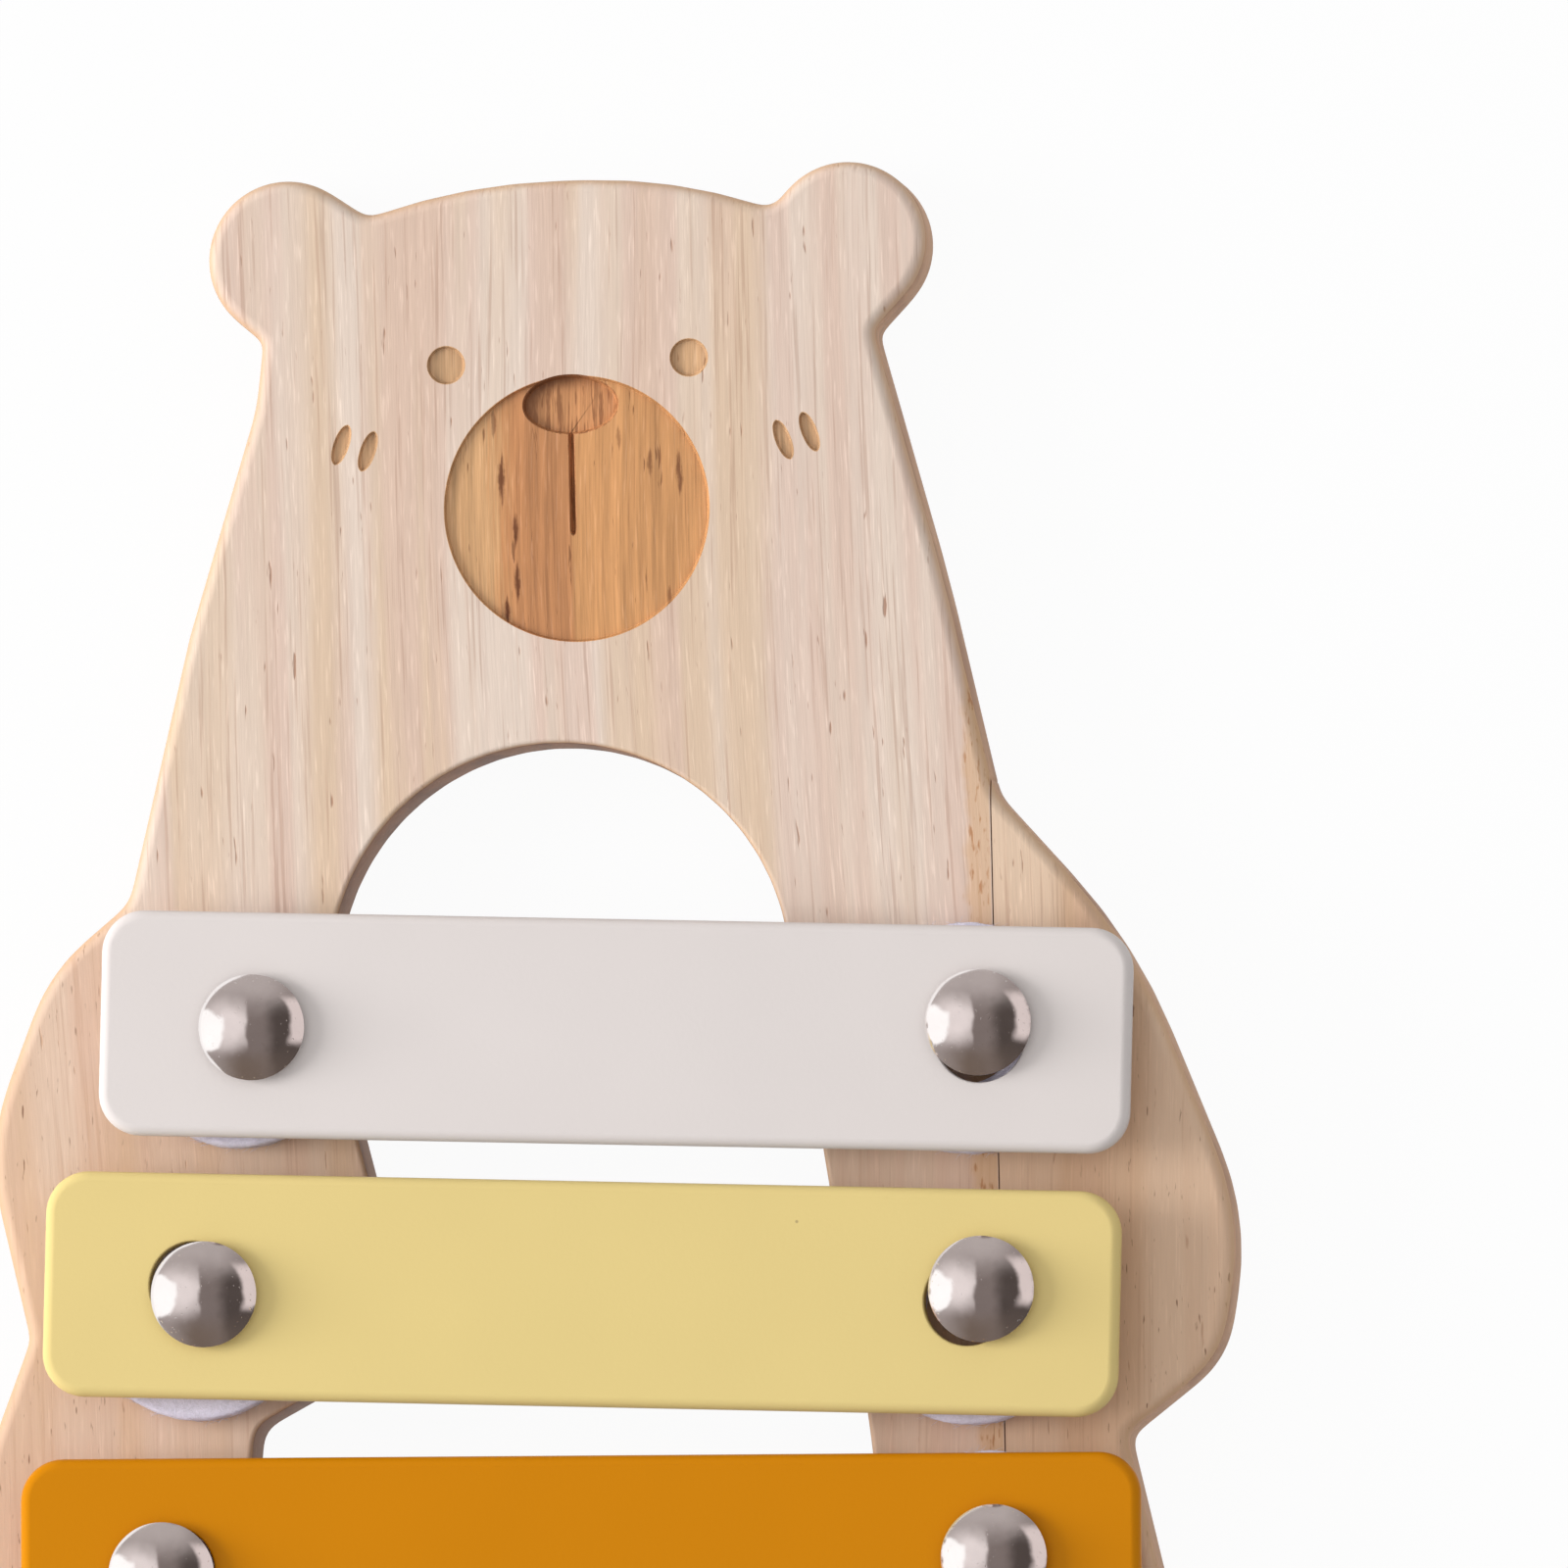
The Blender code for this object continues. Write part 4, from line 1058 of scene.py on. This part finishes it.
def fibre_shapes(settings, random):
    """A few short bent fibres, each a thin closed tube along Z."""
    shapes = []
    for number in range(FIBRE_SHAPES):
        edit = bmesh.new()
        bmesh.ops.create_cone(
            edit, cap_ends=True, segments=FIBRE_SIDES, radius1=settings.fibre_radius,
            radius2=settings.fibre_radius / 2, depth=settings.fibre_length,
        )
        sides = [edge for edge in edit.edges if abs(edge.verts[0].co.z - edge.verts[1].co.z) > MERGE]
        bmesh.ops.subdivide_edges(edit, edges=sides, cuts=FIBRE_CUTS, use_grid_fill=True)
        bend = random.uniform(0.15, 0.45) * settings.fibre_length
        sway = random.uniform(-0.12, 0.12) * settings.fibre_length
        for vert in edit.verts:
            along = vert.co.z / settings.fibre_length
            vert.co.x += bend * along * along
            vert.co.y += sway * math.sin(math.tau * along)
        shape = bpy.data.meshes.new(f"fibre_{number}")
        closed(edit).to_mesh(shape)
        edit.free()
        shapes.append(shape)
    return shapes


def felt_piece(settings, node, material, random, shapes):
    """A lumpy felt ring with loose fibres round its edge."""
    low, high, middle, radius = node_box(node)
    low_height = low.z - settings.swell
    high_height = high.z + settings.swell
    width = radius - settings.bore
    edit = rounded_rectangle(width, high_height - low_height, settings.edge_round, RIM_STEPS)
    refine(edit, FELT_SPACING, 0)
    upright = Matrix.Rotation(math.pi / 2, 4, "X")
    aside = Matrix.Translation(((radius + settings.bore) / 2, 0, middle.z))
    bmesh.ops.transform(edit, matrix=aside @ upright, verts=edit.verts)
    turn(edit, FELT_SEGMENTS)
    edit.normal_update()
    for vert in edit.verts:
        lump = noise.fractal((vert.co + middle) / LUMP_SIZE, 1.0, 2.0, 3)
        vert.co += vert.normal * settings.lump * (lump - LUMP_MIDDLE)
    margin = settings.edge_round / 2
    for _ in range(settings.fibres):
        angle = random.uniform(0, math.tau)
        height = random.uniform(low_height + margin, high_height - margin)
        lean = random.uniform(-0.25, 0.8)
        twist = random.uniform(0, math.tau)
        place = (
            Matrix.Rotation(angle, 4, "Z")
            @ Matrix.Translation((radius - settings.lump, 0, height))
            @ Matrix.Rotation(lean, 4, "Z")
            @ Matrix.Rotation(math.pi / 2 + random.uniform(-0.25, 0.25), 4, "X")
            @ Matrix.Rotation(twist, 4, "Z")
        )
        fibre = random.choice(shapes).copy()
        fibre.transform(place)
        heights = [vert.co.z for vert in fibre.vertices]
        if max(heights) < high_height and min(heights) > low_height:
            edit.from_mesh(fibre)
        bpy.data.meshes.remove(fibre)
    bmesh.ops.translate(edit, verts=edit.verts, vec=(*middle.xy, 0))
    return add_piece(node + "_wool", edit, material)


class XYLOPHONE_OT_felts(bpy.types.Operator):
    """Model the ten felt rings below the bars"""

    bl_idname = "xylophone.felts"
    bl_label = "Felts"

    def execute(self, context):
        settings = context.scene.xylophone_felts
        material = felt_material(settings)
        random = Random(FIBRE_SEED)
        shapes = fibre_shapes(settings, random)
        for node in pairs("felt"):
            felt = felt_piece(settings, node, material, random, shapes)
            hand_over(felt, node, "felt")
        for shape in shapes:
            bpy.data.meshes.remove(shape)
        return {"FINISHED"}


def emptied(owner):
    """The emptied graph of a material or a world."""
    owner.use_nodes = True
    owner.node_tree.nodes.clear()
    return Graph(owner.node_tree)


def seen_rays(graph):
    """Whether a ray sees the background, straight or by a reflection."""
    rays = graph.add("LightPath", {}).outputs
    seen = graph.most(rays["Is Camera Ray"], rays["Is Glossy Ray"])
    return graph.most(seen, rays["Is Transmission Ray"])


def floor_piece(settings):
    """A wide pale floor that stays white in view and still shows the toy's shadow."""
    material, graph, position = new_material("pale_floor")
    mottle = graph.line(graph.cloud(position, (60, 60, 60), 2.0), 0.01, 0.995)
    tone = graph.scaled(settings.floor, mottle)
    matte = graph.shade({"Base Color": tone, "Roughness": 1.0, "Specular IOR Level": 0.0})
    glow = graph.add("Emission", {"Color": (1, 1, 1), "Strength": 1.0})
    amount = graph.times(seen_rays(graph), settings.floor_glow)
    mixed = graph.add("MixShader", {0: amount, 1: matte.outputs[0], 2: glow.outputs[0]})
    graph.fill(material.node_tree.nodes["Material Output"], {"Surface": mixed.outputs[0]})
    edit = bmesh.new()
    bmesh.ops.create_circle(
        edit, cap_ends=True, radius=settings.floor_radius, segments=FLOOR_SEGMENTS,
        matrix=Matrix.Translation((0, 0, -settings.floor_gap)),
    )
    floor = add_piece("floor", edit, material)


def tent_material(settings):
    """The tent's glow, painted as a dome below the camera mirrors it."""
    material = bpy.data.materials.new("studio_tent")
    graph = emptied(material)
    outward = Vector(settings.camera_direction).normalized()
    halfway = graph.vector("ADD", graph.vector("NORMALIZE", graph.place()), outward)
    waved = graph.bent(graph.vector("NORMALIZE", halfway), 5.0, (TENT_WAVE, TENT_WAVE, 0))
    on_dome = graph.scaled(waved, DOME_SPREAD)
    parts = graph.split(on_dome)
    across, along = parts["X"], parts["Y"]

    def blob(middle, reach, near, far):
        return graph.step(graph.about(on_dome, middle, reach)[1], near, far, 1.0, 0.0)

    band = graph.times(graph.step(across, 0.2, 0.5), graph.step(along, 0.3, 0.7, 1.0, 0.0))
    near = graph.times(graph.step(along, -0.8, -0.3, 1.0, 0.0), graph.step(across, -0.2, 0.6, 1.0, 0.35))
    top = graph.times(graph.step(along, 0.1, 0.8), graph.step(across, 0.2, 0.9, 1.0, 0.35))
    left = graph.step(across, -0.95, -0.1, 0.7, 0.0)
    wall = blob((-0.42, 0.04), (0.7, 0.56), 0.3, 1.15)
    wall = graph.times(graph.step(across, -0.1, -0.02, 1.0, 0.0), wall)
    window = blob((-0.86, -0.04), (0.4, 0.42), 0.8, 1.0)
    strip = graph.minus(blob((0, 0), (1, 1), 0.97, 1.02), blob((-0.2, -0.04), (1, 1), 0.9, 1.0))
    strip = graph.times(strip, graph.step(along, -0.45, -0.2, 0.0, 0.9))
    strip = graph.times(strip, graph.step(along, 0.4, 0.65, 1.0, 0.0))
    tone = settings.tent_dark
    areas = (("band", band), ("near", near), ("top", top), ("top", left), ("wall", wall))
    for name, amount in (*areas, ("window", window), ("strip", strip)):
        tone = graph.mixed(amount, tone, getattr(settings, "tent_" + name))
    glow = graph.add("Emission", {"Color": tone, "Strength": TENT_STRENGTH})
    graph.add("OutputMaterial", {"Surface": glow.outputs[0]})
    return material


def tent_piece(settings):
    """A soft studio tent that only reflections see."""
    edit = bmesh.new()
    bmesh.ops.create_uvsphere(
        edit, u_segments=ROUND_SEGMENTS, v_segments=ROUND_SEGMENTS // 2, radius=settings.tent_radius,
    )
    cut_level(edit, -settings.floor_gap, clear_inner=True)
    bmesh.ops.reverse_faces(edit, faces=edit.faces)
    tent = add_piece("studio_tent", edit, tent_material(settings))
    for ray in ("camera", "diffuse", "transmission", "volume_scatter", "shadow"):
        setattr(tent, "visible_" + ray, False)


def white_world(settings):
    """Soft light, brightest from above, that looks white wherever it is seen."""
    world = bpy.data.worlds.new("white_room")
    graph = emptied(world)
    toward = graph.split(graph.place("Generated"))
    side = graph.line(toward["Y"], 0.7, graph.times(toward["X"], -0.7))
    fill = graph.step(side, -0.9, 0.3, settings.fill_shade * settings.fill_strength, settings.fill_strength)
    fill = graph.times(fill, graph.step(toward["Z"], 0, 0.9, settings.fill_horizon, ZENITH))
    seen = seen_rays(graph)
    unseen = graph.times(fill, graph.minus(1.0, seen))
    light = graph.add("Background", {"Color": (1, 1, 1), "Strength": graph.plus(seen, unseen)})
    graph.add("OutputWorld", {"Surface": light.outputs[0]})
    bpy.context.scene.world = world


def key_light(settings):
    """A soft window light from the left."""
    data = bpy.data.lights.new("window_light", "AREA")
    data.shape = "RECTANGLE"
    data.size = settings.key_width
    data.size_y = settings.key_height
    data.energy = settings.key_strength
    lamp = bpy.data.objects.new("window_light", data)
    bpy.context.scene.collection.objects.link(lamp)
    lamp.location = settings.key_place
    lamp.rotation_euler = Vector(settings.key_place).to_track_quat("Z", "Y").to_euler()
    lamp.visible_glossy = False


def photo_camera(settings):
    """The camera above the toy, with a long lens."""
    data = bpy.data.cameras.new("camera")
    data.sensor_width = SENSOR_WIDTH
    data.lens = SENSOR_WIDTH * settings.camera_distance / settings.frame_width
    data.clip_end = 2 * settings.camera_distance + VIEW_BEYOND
    camera = bpy.data.objects.new("camera", data)
    bpy.context.scene.collection.objects.link(camera)
    outward = Vector(settings.camera_direction).normalized()
    tilt = math.radians(settings.camera_roll)
    upward = Vector((math.sin(tilt), math.cos(tilt), 0))
    upward = (upward - outward * upward.dot(outward)).normalized()
    turned = Matrix((upward.cross(outward), upward, outward)).transposed()
    target = Vector(settings.camera_target)
    camera.matrix_world = Matrix.Translation(target + outward * settings.camera_distance) @ turned.to_4x4()
    bpy.context.scene.camera = camera


class XYLOPHONE_OT_stage(bpy.types.Operator):
    """Set up the floor, the studio tent, the light and the camera"""

    bl_idname = "xylophone.stage"
    bl_label = "Stage"

    def execute(self, context):
        settings = context.scene.xylophone_stage
        for make in (floor_piece, tent_piece, white_world, key_light, photo_camera):
            make(settings)
        context.scene.view_settings.view_transform = "Standard"
        return {"FINISHED"}


class XYLOPHONE_PT_pieces(bpy.types.Panel):
    """The sizes and colours of the xylophone, and the buttons that make its pieces"""

    bl_idname = "XYLOPHONE_PT_pieces"
    bl_label = "Bear xylophone"
    bl_space_type = "VIEW_3D"
    bl_region_type = "UI"
    bl_category = "Xylophone"

    def draw(self, context):
        for holder, operator in zip(HOLDERS, OPERATORS):
            box = self.layout.box()
            box.operator(operator.bl_idname)
            for name in HOLDERS[holder].__annotations__:
                box.prop(getattr(context.scene, holder), name)


HOLDERS = {
    "xylophone_board": BoardSettings,
    "xylophone_bars": BarSettings,
    "xylophone_studs": StudSettings,
    "xylophone_felts": FeltSettings,
    "xylophone_stage": StageSettings,
}
OPERATORS = (
    XYLOPHONE_OT_board,
    XYLOPHONE_OT_bars,
    XYLOPHONE_OT_studs,
    XYLOPHONE_OT_felts,
    XYLOPHONE_OT_stage,
)
CLASSES = (*HOLDERS.values(), *OPERATORS, XYLOPHONE_PT_pieces)


def register():
    """Register the classes and give each scene its settings."""
    for kind in CLASSES:
        bpy.utils.register_class(kind)
    for holder, kind in HOLDERS.items():
        setattr(bpy.types.Scene, holder, PointerProperty(type=kind))


def unregister():
    """Take the settings and the classes away again."""
    for holder in HOLDERS:
        delattr(bpy.types.Scene, holder)
    for kind in reversed(CLASSES):
        bpy.utils.unregister_class(kind)


def main():
    """Make every piece and the stage."""
    register()
    bpy.ops.xylophone.board()
    bpy.ops.xylophone.bars()
    bpy.ops.xylophone.studs()
    bpy.ops.xylophone.felts()
    bpy.ops.xylophone.stage()


if __name__ == "__main__":
    main()
